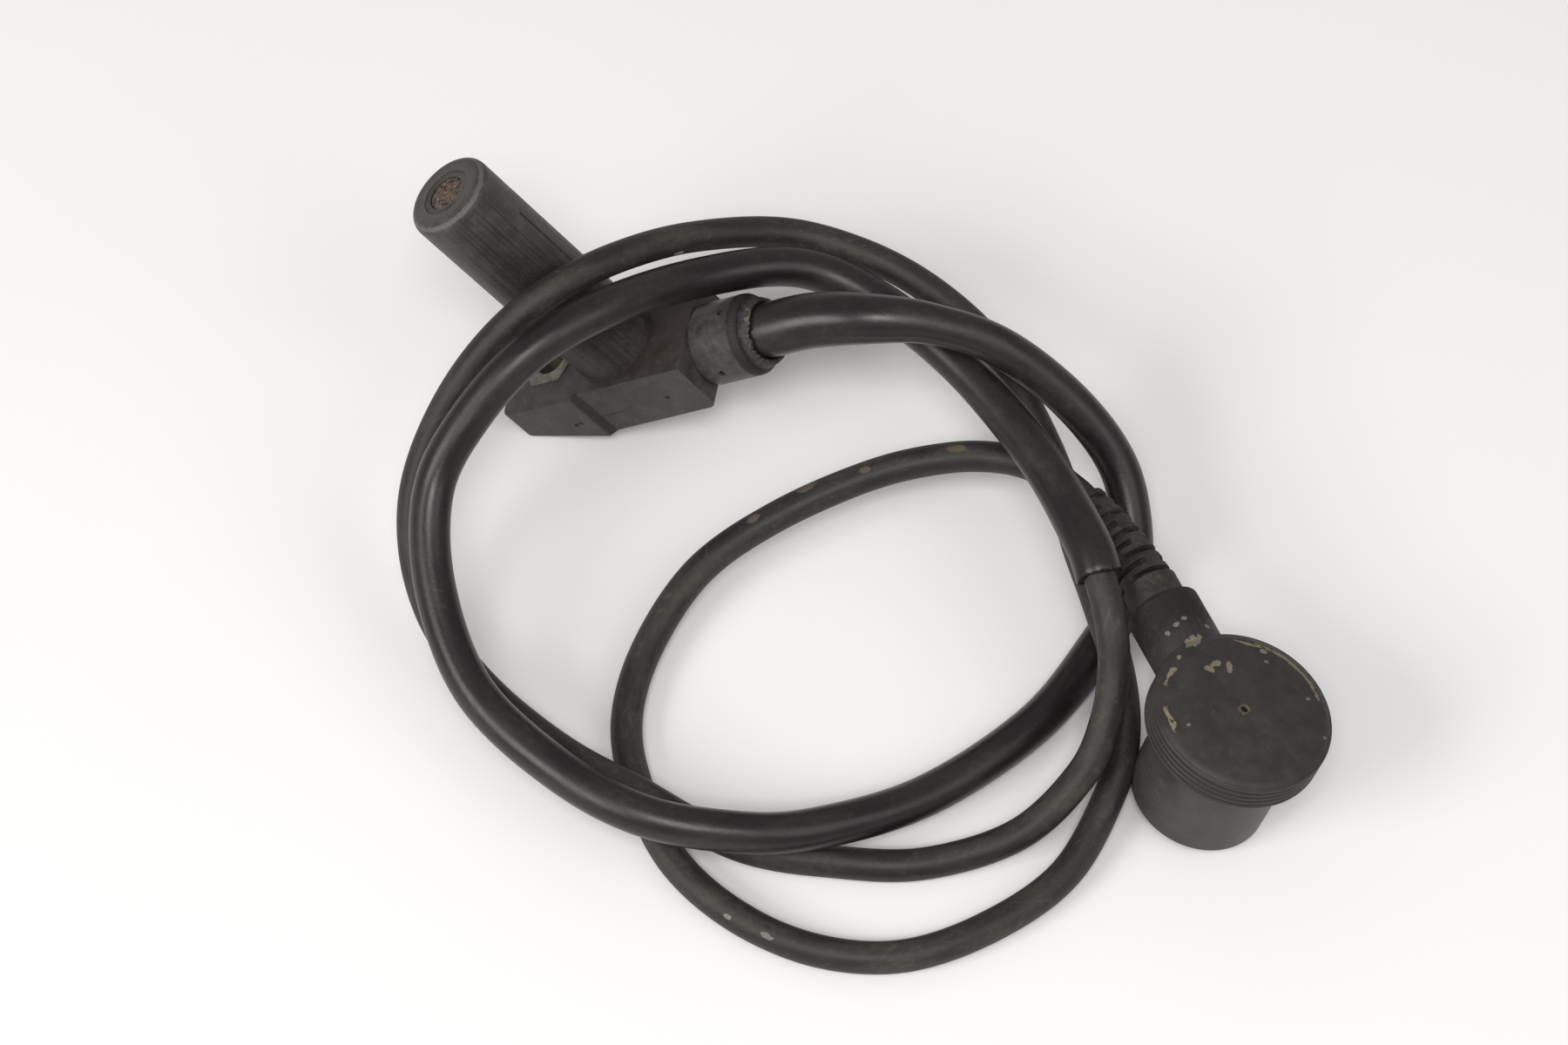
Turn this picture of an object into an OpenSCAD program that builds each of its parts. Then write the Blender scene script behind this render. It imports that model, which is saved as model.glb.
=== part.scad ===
// Crankshaft position sensor with a bolt-on ear, a sleeved cable and a round plug.
// Sensor frame: x runs from the ear to the cable gland, z runs out along the probe.
// Plug frame: z = 0 is the mouth of the shroud, x runs out along the cable neck.

/* [Probe] */
// Outer diameter of the probe
probe_d = 18; // [17:0.1:18.6]
// Length of the probe from the mounting face to the tip
probe_len = 53; // [50:0.5:56]
// Rounding of the tip's edge
tip_round = 2; // [1:0.1:2.5]
// Thickness of the wall at the tip
tip_wall = 3; // [2.6:0.1:4]
// Thickness of the probe's tubular wall
shell_wall = 1.9; // [1.6:0.1:2.2]
// How far the seat ring at the probe's root stands out
root_ring_out = 0.3; // [0.2:0.05:0.4]
// Height of the seat ring
root_ring_h = 0.6; // [0.4:0.1:1]
// Length of the mould slit along the probe
slit_len = 17.5; // [8:0.5:20]
// Width of the mould slit
slit_w = 0.6; // [0.4:0.1:0.8]

/* [Flange block] */
// Width of the block across the probe
block_w = 22; // [21:0.2:23]
// Thickness of the block behind the mounting face
block_t = 13.5; // [12.8:0.1:14.5]
// Distance from the probe's axis to the cable end of the block
block_reach = 19; // [17.5:0.5:20]
// Rounding of the block's lower cable-end edge
block_round = 1.6; // [1:0.1:2.5]
// Width of the ear
ear_w = 24.2; // [23.4:0.1:24.8]
// Distance from the probe's axis to the end of the ear
ear_reach = 26; // [25:0.5:28]
// Thickness of the ear at its end
ear_tip_t = 7.1; // [6.5:0.1:8]
// Distance from the probe's axis to the step between ear and block
step_at = 8.2; // [7.8:0.1:8.8]
// Run of the sloped step
step_run = 2; // [1.4:0.1:2.4]
// Corner rounding of the ear seen from the probe side
ear_round = 2; // [1:0.25:4]

/* [Mounting bush] */
// Distance from the probe's axis to the bolt's axis
bush_at = 16.3; // [16:0.1:17]
// Width of the hexagonal bush across its flats
bush_af = 12; // [11.4:0.1:12.2]
// Diameter of the bolt hole
bush_hole_d = 6.8; // [6.4:0.1:7.2]
// How far the bush stands proud of the mounting face
bush_proud = 0.4; // [0.2:0.1:0.6]
// How far the bush's foot lies deeper than the end of the ear
bush_foot = 1.1; // [0.8:0.1:1.2]

/* [Cable gland] */
// Outer diameter of the gland
gland_d = 16.5; // [15.8:0.1:17]
// Length of the gland outside the block
gland_len = 12; // [11:0.5:13]
// Depth of the gland's axis below the mounting face
gland_drop = 7.8; // [7.5:0.1:8.1]
// Rounding of the gland's lip
lip_round = 1.6; // [1.2:0.1:1.9]
// Depth of the mouth that the sleeve sits in
mouth_depth = 3.5; // [3:0.1:4.5]
// Width of the groove where the gland meets the block
gland_groove = 0.8; // [0.5:0.1:1.2]
// Length of the spigot that holds the gland in the block
spigot_len = 5; // [4:0.5:6]

/* [Coil] */
// Diameter of the pole piece and of the magnet behind it
pole_d = 7.5; // [7:0.1:7.8]
// Length of the pole piece
pole_len = 31; // [28:0.5:32]
// Depth of the pole piece's face below the tip
pole_recess = 0.3; // [0.1:0.1:0.6]
// Length of the magnet
magnet_len = 12; // [10:0.5:13]
// Wall of the bobbin's tube
bobbin_wall = 1.3; // [1.1:0.1:1.4]
// Thickness of a bobbin flange
flange_t = 1.5; // [1.2:0.1:2]
// Length of the winding
winding_len = 22; // [20:0.5:23]
// How far the winding stays inside the flange rim
winding_inset = 0.6; // [0.4:0.1:0.9]
// Width of a terminal strip
strip_w = 1.6; // [1.4:0.1:1.7]
// Thickness of a terminal strip
strip_t = 0.5; // [0.4:0.05:0.55]
// Diameter of a sensor lead
lead_d = 1.8; // [1.6:0.1:1.9]

/* [Cord] */
// Diameter of the protective sleeve
sleeve_d = 8; // [7.6:0.1:8.2]
// Diameter of the sleeve where it leaves the gland
sleeve_root_d = 11; // [10.6:0.1:11.2]
// Diameter of the sleeve's cut end
sleeve_end_d = 9.2; // [8.6:0.1:9.4]
// Diameter of the cable
cable_d = 6.2; // [6:0.1:6.3]

/* [Plug] */
// Diameter of the plug's cap
cap_d = 34.4; // [33.6:0.2:35]
// Height of the ribbed rim of the cap
cap_h = 7.2; // [6.6:0.1:7.6]
// Number of ribs round the cap's rim
rib_count = 5; // [4:1:6]
// Run of the sloped shoulder round the cap's face
cap_shoulder = 1.2; // [0.8:0.1:1.5]
// Depth of the grooves between the ribs
rib_depth = 0.6; // [0.4:0.1:0.8]
// Outer diameter of the shroud
shroud_d = 26.8; // [26:0.2:27.2]
// Wall of the shroud at its mouth
shroud_wall = 2.2; // [1.8:0.1:2.6]
// Width of the ledge inside the shroud
shroud_ledge = 0.8; // [0.6:0.1:1]
// Height of the whole plug
plug_h = 29.4; // [28.8:0.2:30]
// Chamfer of the shroud's mouth
mouth_chamfer = 0.4; // [0.2:0.1:0.6]
// Diameter of the cable neck
neck_d = 14.5; // [14:0.1:14.8]
// Distance from the plug's axis to the end of the neck
neck_reach = 29; // [28:0.5:30]
// Height of the neck's axis above the shroud's mouth
neck_z = 21.6; // [21.4:0.1:22]
// Rounding of the neck's end
neck_round = 1.2; // [0.8:0.1:1.8]
// Depth from the mouth to the contact insert
insert_depth = 8; // [7:0.5:9]
// Thickness of the contact insert
insert_t = 6; // [5:0.5:6.5]
// Distance from the plug's axis to a signal contact
contact_at = 4.2; // [4:0.1:5]
// Diameter of a signal contact
contact_d = 2.8; // [2.4:0.1:3]
// Diameter of the shield contact
shield_d = 3.6; // [3.2:0.1:3.8]
// Thickness of the face seal
seal_t = 1.5; // [1.2:0.1:1.8]

/* [Bend relief] */
// Length of the bend relief outside the neck
boot_len = 27; // [25.5:0.5:28]
// Diameter of the collar next to the neck
boot_collar_d = 11; // [10.6:0.1:11.6]
// Diameter at the cable end
boot_tip_d = 8; // [7.8:0.1:8.4]
// Length of the collar
boot_collar_len = 5; // [4:0.5:6]
// Number of window rows
window_rows = 9; // [7:1:10]
// Width of a window along the cable
window_w = 1.3; // [1.1:0.1:1.5]
// Width of the bridge between two windows
bridge_w = 3.6; // [3:0.1:4.2]

// Turn of each row against the one before it
boot_bend = 1.5; // [1.2:0.1:1.7]

/* [Fits] */
// Clearance between pieces that are seated in each other
fit = 0.05; // [0.03:0.01:0.08]

/* [Hidden] */
$fn = 72;

// Overshoot of a cutting tool past the face that it cuts
over = 1;

// Probe and chamber
probe_r = probe_d / 2;
chamber_r = probe_r - shell_wall;
chamber_top = probe_len - tip_wall;
root_ring_r = probe_r + root_ring_out;
slit_depth = 0.5;
slit_setback = 11.5;
slit_top = probe_len - slit_setback;
slit_turn = 5;

// Gland
gland_r = gland_d / 2;
gland_z = -gland_drop;
gland_end = block_reach + gland_len;
gland_seat = gland_end - mouth_depth;
channel_r = 3.3;
spigot_r = 4.5;
seal_gap = 1.1;
seal_rise = 0.4;
tear_turn = -120;
tear_shift = 0.4;
tear_depth = 2;
mouth_r = sleeve_root_d / 2 + seal_gap;
groove_depth = 0.5;
// Mould pits: turn about the gland and place along it, then place along the block and below its face
pit_r = 0.55;
pit_depth = 0.7;
gland_pits = [[178, 8.25], [-92, 5]];
block_pits = [[11, -7.5], [-12.5, -7.8], [-11.2, -7.6]];
chamber_floor = gland_z - channel_r;

// Bush
bush_r = bush_af / 2 / cos(30);
bush_depth = ear_tip_t + bush_foot;
spot_face_r = bush_r + 0.8;

// Coil, from the tip towards the block
pole_r = pole_d / 2;
pole_top = probe_len - pole_recess;
pole_foot = pole_top - pole_len;
magnet_top = pole_foot - fit;
magnet_foot = magnet_top - magnet_len;
bobbin_bore_r = pole_r + fit;
bobbin_r = bobbin_bore_r + bobbin_wall;
flange_r = chamber_r - fit;
flange_top = chamber_top - fit;
winding_top = flange_top - flange_t;
winding_foot = winding_top - winding_len;
rear_flange_foot = winding_foot - flange_t;
stem_foot = magnet_foot - fit - bobbin_wall;
winding_r = flange_r - winding_inset;

// Terminal strips and sensor leads
strip_x = bobbin_r + fit;
strip_y = 1.6;
lead_r = lead_d / 2;
lead_z = gland_z + 0.6;
foot_z = lead_z + lead_r + fit;
foot_len = 7;
lead_start = strip_x + 2;

// Plug
cap_r = cap_d / 2;
shroud_r = shroud_d / 2;
shroud_bore_r = shroud_r - shroud_wall;
cap_z = plug_h - cap_h;
cap_top_t = 3;
cap_edge = 0.6;
rib_pitch = (cap_h - cap_edge) / rib_count;
neck_r = neck_d / 2;
shroud_inner_r = shroud_bore_r - shroud_ledge;
ledge_z = insert_depth - seal_t;
skirt_r = shroud_inner_r - fit;
skirt_wall = 2.4;
cavity_r = skirt_r - skirt_wall;
insert_back = insert_depth + insert_t;
gate_r = 0.7;
gate_depth = 1.2;

// Contacts and leads in the plug
contact_r = contact_d / 2;
shield_r = shield_d / 2;
contact_bore = 0.55;
contact_front = insert_depth - 0.4;
contact_tail = 3.5;
contact_back = insert_back + contact_tail;
contact_collar_r = 0.5;
contact_collar_t = 1;
plug_lead_r = 0.7;

// Ferrule, cable end and bend relief
cable_r = cable_d / 2;
jacket_r = cable_r + fit;
ferrule_wall = 0.9;
ferrule_r = jacket_r + ferrule_wall;
neck_bore_r = ferrule_r + fit;
ferrule_setback = 12;
ferrule_start = neck_reach - ferrule_setback;
ferrule_len = 9;
boot_plug_len = 2.5;
boot_collar_r = boot_collar_d / 2;
boot_tip_r = boot_tip_d / 2;
boot_shoulder_r = boot_collar_r - 0.3;
ribs_start = neck_reach + boot_collar_len;
row_pitch = (boot_len - boot_collar_len) / window_rows;
row_lap = 0.3;
// Turn of the bend's plane about the neck, and of the windows about the bend relief
boot_roll = -30;
window_turn = 45;
cable_stop = ferrule_start + 1.5;

// Rest pose: the sensor leans on the end of its ear, the plug stands on its mouth's rim
lean = 35.4;
sensor_z = sin(lean) * ear_reach + cos(lean) * ear_tip_t;
tip_x = -sin(lean) * (probe_len - tip_round) - cos(lean) * (probe_r - tip_round) - tip_round;
lip_x = cos(lean) * (gland_end - lip_round) + sin(lean) * (gland_drop + gland_r - lip_round) + lip_round;
sensor_x = -(tip_x + lip_x) / 2;
plug_tilt = 12;
plug_turn = 124;
plug_x = 129.5;
plug_y = -69;
plug_z = sin(plug_tilt) * (shroud_r - mouth_chamfer);

// Route of the sleeve past the gland, and of the cable past the sleeve
sleeve_free = [[42, 1, 38], [53, 1, 41.5], [65, 2, 41.5], [79, 2, 37], [94, -1.5, 27], [105, -8.5, 17.5],
    [110, -19.5, 10], [110.5, -30, 6], [107, -41, 4.5], [97, -61, 4.5], [79, -81, 6.5], [60, -94, 11.5],
    [45, -99, 14.5], [27, -99.5, 16.5], [9, -92.5, 16.5], [-9, -80, 18], [-20, -62.5, 23.5], [-23.5, -46, 31],
    [-18.5, -34, 39.5],
    [-9, -22, 47], [3.5, -9.5, 47.5], [18.5, 6, 39.5], [36, 15, 35], [52, 13, 31.5], [71, 1, 30.5],
    [89, -17, 30.5], [100.5, -34, 31.5], [104.5, -41.5, 30.5]];
cable_free = [[108, -49.5, 27.5], [110, -56.5, 22], [110, -64.5, 16], [107, -73.5, 10], [97, -85.5, 5],
    [80, -94, 3.3], [62, -97, 4], [48, -98, 6], [36, -96, 9], [25, -92, 10], [10, -86, 9],
    [-6, -76, 7], [-19, -65, 8], [-26, -55, 12.5], [-29, -45, 19], [-28, -36, 27], [-23, -26, 37],
    [-15.5, -16.5, 45], [-6.5, -7.5, 49], [3.5, 3.5, 46.5], [15.5, 15.5, 39.5], [32, 23.5, 34],
    [48, 23.5, 31],
    [63, 19, 28], [77, 11, 23], [87, 0, 16.5], [94, -11, 13.5], [99, -24, 12.5], [105, -37, 12.5],
    [111, -50, 10.5], [114, -62, 7.5], [113, -74, 5.5], [107, -91, 3.5], [95, -104, 3.3],
    [80, -113, 3.3], [64, -115, 3.3], [48, -111, 3.3], [34, -102, 3.3], [24, -88, 3.3],
    [19, -74, 3.5], [20, -58, 4.5], [27, -41, 7.5], [40, -28, 10.5], [57, -17, 13.5], [71, -12, 16],
    [82, -11.5, 18.5], [91, -14.5, 21]];
cord_sides = 10;
// Arc lengths over which the sleeve's width changes
root_keep = 16;
root_taper = 28;
end_taper = 50;
// Straight length of cable past the bend relief's tip
cable_lead_in = 3;

function unit(v) = v / norm(v);
function sensor_point(l, p) = [sensor_x + cos(lean) * l - sin(lean) * p, 0,
    sensor_z + sin(lean) * l + cos(lean) * p];
function plug_point(x, y, z) = let (
        ty = y * cos(plug_tilt) - z * sin(plug_tilt),
        tz = y * sin(plug_tilt) + z * cos(plug_tilt))
    [plug_x + x * cos(plug_turn) - ty * sin(plug_turn),
     plug_y + x * sin(plug_turn) + ty * cos(plug_turn),
     plug_z + tz];
function neck_point(x) = plug_point(x, 0, neck_z);
function row_turn(i) = boot_bend * (i + 0.5);
function row_dir(i) = [cos(row_turn(i)), sin(row_turn(i))];
function row_start(i) = i == 0 ? [ribs_start, 0] : row_start(i - 1) + row_pitch * row_dir(i - 1);
function row_r(i) = blend(boot_shoulder_r, boot_tip_r, i / window_rows);
function boot_point(at) = plug_point(at[0], at[1] * cos(boot_roll), neck_z + at[1] * sin(boot_roll));
function side_w(l) = l < -step_at ? ear_w : block_w;
function arc_to(path, i) = i == 0 ? 0 : arc_to(path, i - 1) + norm(path[i] - path[i - 1]);
function blend(a, b, t) = a + (b - a) * min(1, max(0, t));
function tangent(path, i) = unit(path[min(i + 1, len(path) - 1)] - path[max(i - 1, 0)]);
function ring(path, i, r) = let (
        t = tangent(path, i),
        side = unit(cross(t, [0, 0, 1])),
        up = cross(side, t))
    [for (k = [0 : cord_sides - 1])
        path[i] + r * (cos(360 * k / cord_sides) * side + sin(360 * k / cord_sides) * up)];
function sleeve_r(s, total) = s < root_keep + root_taper
    ? blend(sleeve_root_d, sleeve_d, (s - root_keep) / root_taper) / 2
    : blend(sleeve_d, sleeve_end_d, 1 - (total - s) / end_taper) / 2;

sleeve_path = concat([sensor_point(gland_seat + fit, gland_z), sensor_point(gland_end + 2, gland_z)],
    sleeve_free);
boot_path = [for (i = [window_rows : -1 : 0]) boot_point(row_start(i))];
cord_path = concat(sleeve_path, cable_free,
    [boot_point(row_start(window_rows) + cable_lead_in * row_dir(window_rows - 1))],
    boot_path, [neck_point(cable_stop)]);
sleeve_last = len(sleeve_path) - 1;
cord_last = len(cord_path) - 1;
sleeve_total = arc_to(cord_path, sleeve_last);
sleeve_radii = [for (i = [0 : sleeve_last]) sleeve_r(arc_to(cord_path, i), sleeve_total)];
cable_radii = [for (i = [sleeve_last : cord_last]) cable_r];

// Puts a piece of the sensor in its rest pose
module lay_sensor() {
    translate([sensor_x, 0, sensor_z]) rotate([0, -lean, 0]) children();
}

// Puts a piece of the plug in its rest pose
module lay_plug() {
    translate([plug_x, plug_y, plug_z]) rotate([plug_tilt, 0, plug_turn]) children();
}

// Turns a piece that was made along z so that it lies along x at height z
module along_x(x, z) {
    translate([x, 0, z]) rotate([0, 90, 0]) children();
}

// Straight tube between two heights
module tube(r_out, r_in, z0, z1) {
    difference() {
        translate([0, 0, z0]) cylinder(r = r_out, h = z1 - z0);
        translate([0, 0, z0 - over]) cylinder(r = r_in, h = z1 - z0 + 2 * over);
    }
}

// Round bar from z = 0 with a rounded rim at its far end
module round_ended_bar(r, h, edge) {
    cylinder(r = r, h = h - edge);
    cylinder(r = r - edge, h = h);
    translate([0, 0, h - edge]) rotate_extrude() translate([r - edge, 0]) circle(r = edge);
}

// Solid tube swept along part of a route, with its own radius at each ring
module swept_tube(path, first, radii) {
    n = cord_sides;
    last = len(radii) - 1;
    points = [for (i = [0 : last]) each ring(path, first + i, radii[i])];
    walls = [for (i = [0 : last - 1]) for (k = [0 : n - 1]) each [
        [i * n + k, i * n + (k + 1) % n, (i + 1) * n + (k + 1) % n],
        [i * n + k, (i + 1) * n + (k + 1) % n, (i + 1) * n + k]]];
    start_cap = [for (k = [n - 1 : -1 : 0]) k];
    end_cap = [for (k = [0 : n - 1]) last * n + k];
    polyhedron(points, concat(walls, [start_cap, end_cap]));
}

// Outline of block and ear seen from the probe, through the full depth
module plan_form() {
    depth = block_t + 2 * over;
    translate([0, 0, over - depth]) {
        linear_extrude(height = depth) polygon([
            [-ear_reach + ear_round, -ear_w / 2], [-step_at, -ear_w / 2],
            [-step_at + step_run, -block_w / 2], [block_reach, -block_w / 2],
            [block_reach, block_w / 2], [-step_at + step_run, block_w / 2],
            [-step_at, ear_w / 2], [-ear_reach + ear_round, ear_w / 2]]);
        translate([-ear_reach, -ear_w / 2 + ear_round, 0])
            cube([ear_round + over, ear_w - 2 * ear_round, depth]);
        for (s = [-1, 1])
            translate([-ear_reach + ear_round, s * (ear_w / 2 - ear_round), 0])
                cylinder(r = ear_round, h = depth);
    }
}

// Side profile of block and ear, with the sloping underside of the ear
module side_form() {
    span = ear_w + 2 * over;
    rotate([90, 0, 0]) {
        linear_extrude(height = span, center = true) polygon([
            [-ear_reach, 0], [block_reach, 0], [block_reach, -block_t + block_round],
            [block_reach - block_round, -block_t], [-step_at, -block_t], [-ear_reach, -ear_tip_t]]);
        translate([block_reach - block_round, -block_t + block_round, 0])
            cylinder(r = block_round, h = span, center = true);
    }
}

module sensor_housing() {
    color([0.13, 0.13, 0.13]) lay_sensor() difference() {
        union() {
            intersection() {
                plan_form();
                side_form();
            }
            round_ended_bar(probe_r, probe_len, tip_round);
            cylinder(r = root_ring_r, h = root_ring_h);
        }
        translate([0, 0, chamber_floor]) cylinder(r = chamber_r, h = chamber_top - chamber_floor);
        cylinder(r = bobbin_r + fit, h = probe_len + over);
        along_x(0, gland_z) cylinder(r = channel_r, h = block_reach + over);
        along_x(block_reach - spigot_len, gland_z) cylinder(r = spigot_r + fit, h = spigot_len + over);
        translate([-bush_at, 0, -block_t - over]) {
            cylinder(r = bush_r + fit, h = block_t + 2 * over, $fn = 6);
            cylinder(r = spot_face_r, h = block_t + over - bush_depth);
        }
        rotate([0, 0, slit_turn]) translate([probe_r - slit_depth, -slit_w / 2, slit_top - slit_len])
            cube([slit_depth + over, slit_w, slit_len]);
        for (pit = block_pits) translate([pit[0], -side_w(pit[0]) / 2 - over, pit[1]]) rotate([-90, 0, 0])
            cylinder(r = pit_r, h = over + pit_depth / 2, $fn = 16);
    }
}

module pole_piece() {
    chamfer = 0.4;
    color([0.45, 0.36, 0.31]) lay_sensor() translate([0, 0, pole_foot]) {
        cylinder(r = pole_r, h = pole_len - chamfer);
        translate([0, 0, pole_len - chamfer]) cylinder(r1 = pole_r, r2 = pole_r - chamfer, h = chamfer);
    }
}

module bar_magnet() {
    color([0.35, 0.35, 0.37]) lay_sensor() translate([0, 0, magnet_foot])
        cylinder(r = pole_r, h = magnet_len);
}

module coil_bobbin() {
    nose_recess = 0.1;
    color([0.16, 0.15, 0.14]) lay_sensor() difference() {
        union() {
            translate([0, 0, stem_foot]) cylinder(r = bobbin_r, h = probe_len - nose_recess - stem_foot);
            translate([0, 0, winding_top]) cylinder(r = flange_r, h = flange_t);
            translate([0, 0, rear_flange_foot]) cylinder(r = flange_r, h = flange_t);
        }
        translate([0, 0, magnet_foot - fit])
            cylinder(r = bobbin_bore_r, h = probe_len - magnet_foot + over);
    }
}

module coil_winding() {
    color([0.62, 0.33, 0.16]) lay_sensor()
        tube(winding_r, bobbin_r + fit, winding_foot + fit, winding_top - fit);
}

module terminal_strips() {
    color([0.72, 0.56, 0.25]) lay_sensor() for (s = [-1, 1])
        translate([strip_x, s * strip_y - strip_w / 2, foot_z]) {
            cube([strip_t, strip_w, rear_flange_foot - fit - foot_z]);
            cube([foot_len, strip_w, strip_t]);
        }
}

module sensor_leads() {
    color([0.5, 0.42, 0.2]) lay_sensor() for (s = [-1, 1])
        translate([0, s * strip_y, 0]) along_x(lead_start, lead_z)
            cylinder(r = lead_r, h = gland_seat - lead_start);
}

module mount_bush() {
    chamfer = 0.5;
    hole_r = bush_hole_d / 2;
    color([0.62, 0.59, 0.53]) lay_sensor() translate([-bush_at, 0, -bush_depth]) difference() {
        cylinder(r = bush_r, h = bush_depth + bush_proud, $fn = 6);
        translate([0, 0, -over]) cylinder(r = hole_r, h = bush_depth + bush_proud + 2 * over);
        translate([0, 0, bush_depth + bush_proud - chamfer])
            cylinder(r1 = hole_r, r2 = hole_r + chamfer + over, h = chamfer + over);
    }
}

module cable_gland() {
    color([0.17, 0.17, 0.16]) lay_sensor() along_x(block_reach + fit, gland_z) difference() {
        length = gland_len - fit;
        union() {
            translate([0, 0, gland_groove]) round_ended_bar(gland_r, length - gland_groove, lip_round);
            cylinder(r = gland_r - groove_depth, h = gland_groove + over);
            translate([0, 0, -spigot_len + fit]) cylinder(r = spigot_r, h = spigot_len);
        }
        translate([0, 0, -spigot_len - over]) cylinder(r = channel_r, h = spigot_len + length + over);
        translate([0, 0, length - mouth_depth]) cylinder(r = mouth_r, h = mouth_depth + over);
        for (pit = gland_pits) rotate([0, 0, pit[0]]) translate([gland_r - pit_depth, 0, pit[1]])
            rotate([0, 90, 0]) cylinder(r = pit_r, h = pit_depth + over, $fn = 16);
    }
}

// Ring between gland and sleeve, thinned by a tear on one side
module gland_seal() {
    seal_r = sleeve_root_d / 2 + 2 * fit;
    rim_r = mouth_r - fit;
    ring_h = mouth_depth + seal_rise;
    color([0.47, 0.43, 0.34]) lay_sensor() along_x(gland_seat, gland_z) difference() {
        rotate_extrude() polygon([[seal_r, fit], [rim_r, fit], [rim_r, mouth_depth - fit],
            [rim_r - seal_rise, ring_h], [seal_r, ring_h]]);
        rotate([0, 0, tear_turn]) translate([tear_shift, 0, ring_h - tear_depth])
            cylinder(r = seal_r + tear_shift / 2, h = ring_h);
    }
}

module cable_sleeve() {
    color([0.1, 0.1, 0.1]) swept_tube(cord_path, 0, sleeve_radii);
}

module cable() {
    color([0.14, 0.13, 0.12]) swept_tube(cord_path, sleeve_last, cable_radii);
}

// Puts a row of the bend relief in its place along the bend
module lay_row(i) {
    at = row_start(i);
    translate([at[0], at[1], 0]) rotate([0, 0, row_turn(i)]) rotate([0, 90, 0]) children();
}

// Row of the bend relief along z: a pair of bridges between two windows, then a closed rib
module boot_row(i) {
    reach = boot_collar_d;
    bridge_h = window_w + 2 * row_lap;
    difference() {
        translate([0, 0, window_w]) cylinder(r1 = row_r(i), r2 = row_r(i + 1), h = row_pitch - window_w);
        cylinder(r = jacket_r, h = row_pitch + over);
    }
    intersection() {
        tube(row_r(i + 1), jacket_r + row_lap, -row_lap, bridge_h - row_lap);
        rotate([0, 0, window_turn + 90 * (i % 2)]) translate([-bridge_w / 2, -reach, -reach])
            cube([bridge_w, 2 * reach, 2 * reach]);
    }
}

// Collar and tapered rows, each with its windows turned a quarter from the row before it
module bend_relief() {
    color([0.2, 0.19, 0.17]) lay_plug() translate([0, 0, neck_z]) rotate([boot_roll, 0, 0]) {
        difference() {
            union() {
                along_x(neck_reach - boot_plug_len, 0) cylinder(r = ferrule_r, h = boot_plug_len + over);
                along_x(neck_reach + fit, 0) cylinder(r = boot_collar_r, h = boot_collar_len - fit);
            }
            along_x(neck_reach - boot_plug_len - over, 0)
                cylinder(r = jacket_r, h = boot_plug_len + boot_collar_len + 2 * over);
        }
        for (i = [0 : window_rows - 1]) lay_row(i) boot_row(i);
    }
}

// Ribbed disc with the cable neck and the skirt that carries the shroud
module connector_cap() {
    color([0.21, 0.2, 0.18]) lay_plug() difference() {
        union() {
            translate([0, 0, cap_z]) cylinder(r = cap_r - rib_depth, h = cap_h - cap_edge);
            translate([0, 0, plug_h - cap_edge])
                cylinder(r1 = cap_r - rib_depth, r2 = cap_r - rib_depth - cap_shoulder, h = cap_edge);
            for (i = [0 : rib_count - 1]) translate([0, 0, cap_z + (i + 0.5) * rib_pitch])
                rotate_extrude() translate([cap_r - rib_depth, 0]) circle(r = rib_depth, $fn = 24);
            translate([0, 0, insert_back + fit]) cylinder(r = skirt_r, h = cap_z - insert_back);
            along_x(0, neck_z) round_ended_bar(neck_r, neck_reach, neck_round);
        }
        translate([0, 0, insert_back - over])
            cylinder(r = cavity_r, h = plug_h - cap_top_t - insert_back + over);
        along_x(0, neck_z) cylinder(r = neck_bore_r, h = neck_reach + over);
        translate([0, 0, plug_h - gate_depth]) cylinder(r = gate_r, h = gate_depth + over);
    }
}

module connector_shroud() {
    saddle_r = neck_r + fit;
    color([0.17, 0.17, 0.17]) lay_plug() difference() {
        union() {
            translate([0, 0, mouth_chamfer]) cylinder(r = shroud_r, h = cap_z - fit - mouth_chamfer);
            cylinder(r1 = shroud_r - mouth_chamfer, r2 = shroud_r, h = mouth_chamfer);
        }
        translate([0, 0, -over]) cylinder(r = shroud_bore_r, h = ledge_z + over);
        cylinder(r = shroud_inner_r, h = plug_h);
        along_x(0, neck_z) cylinder(r = saddle_r, h = cap_r);
        translate([0, -saddle_r, neck_z]) cube([cap_r, 2 * saddle_r, plug_h]);
    }
}

module contact_insert() {
    color([0.3, 0.28, 0.24]) lay_plug() difference() {
        translate([0, 0, insert_depth]) cylinder(r = skirt_r, h = insert_t);
        translate([0, 0, insert_depth - over]) {
            cylinder(r = shield_r + fit, h = insert_t + 2 * over);
            for (s = [-1, 1]) translate([0, s * contact_at, 0])
                cylinder(r = contact_r + fit, h = insert_t + 2 * over);
        }
    }
}

// Socket contact with a collar that rests on the back of the insert
module socket_contact(r) {
    bore_stop = insert_back - over;
    difference() {
        union() {
            translate([0, 0, contact_front]) cylinder(r = r, h = contact_back - contact_front);
            translate([0, 0, insert_back + fit]) cylinder(r = r + contact_collar_r, h = contact_collar_t);
        }
        translate([0, 0, contact_front - over])
            cylinder(r = r * contact_bore, h = bore_stop - contact_front + over);
    }
}

module signal_contacts() {
    color([0.75, 0.6, 0.3]) lay_plug() for (s = [-1, 1]) translate([0, s * contact_at, 0])
        socket_contact(contact_r);
}

module shield_contact() {
    color([0.7, 0.66, 0.55]) lay_plug() socket_contact(shield_r);
}

module face_seal() {
    color([0.12, 0.12, 0.12]) lay_plug()
        tube(skirt_r, skirt_r - seal_t, ledge_z, insert_depth - fit);
}

module crimp_ferrule() {
    crimp_r = ferrule_r + fit / 2;
    color([0.66, 0.62, 0.52]) lay_plug() along_x(0, neck_z)
        tube(crimp_r, jacket_r, ferrule_start, ferrule_start + ferrule_len);
}

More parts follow.
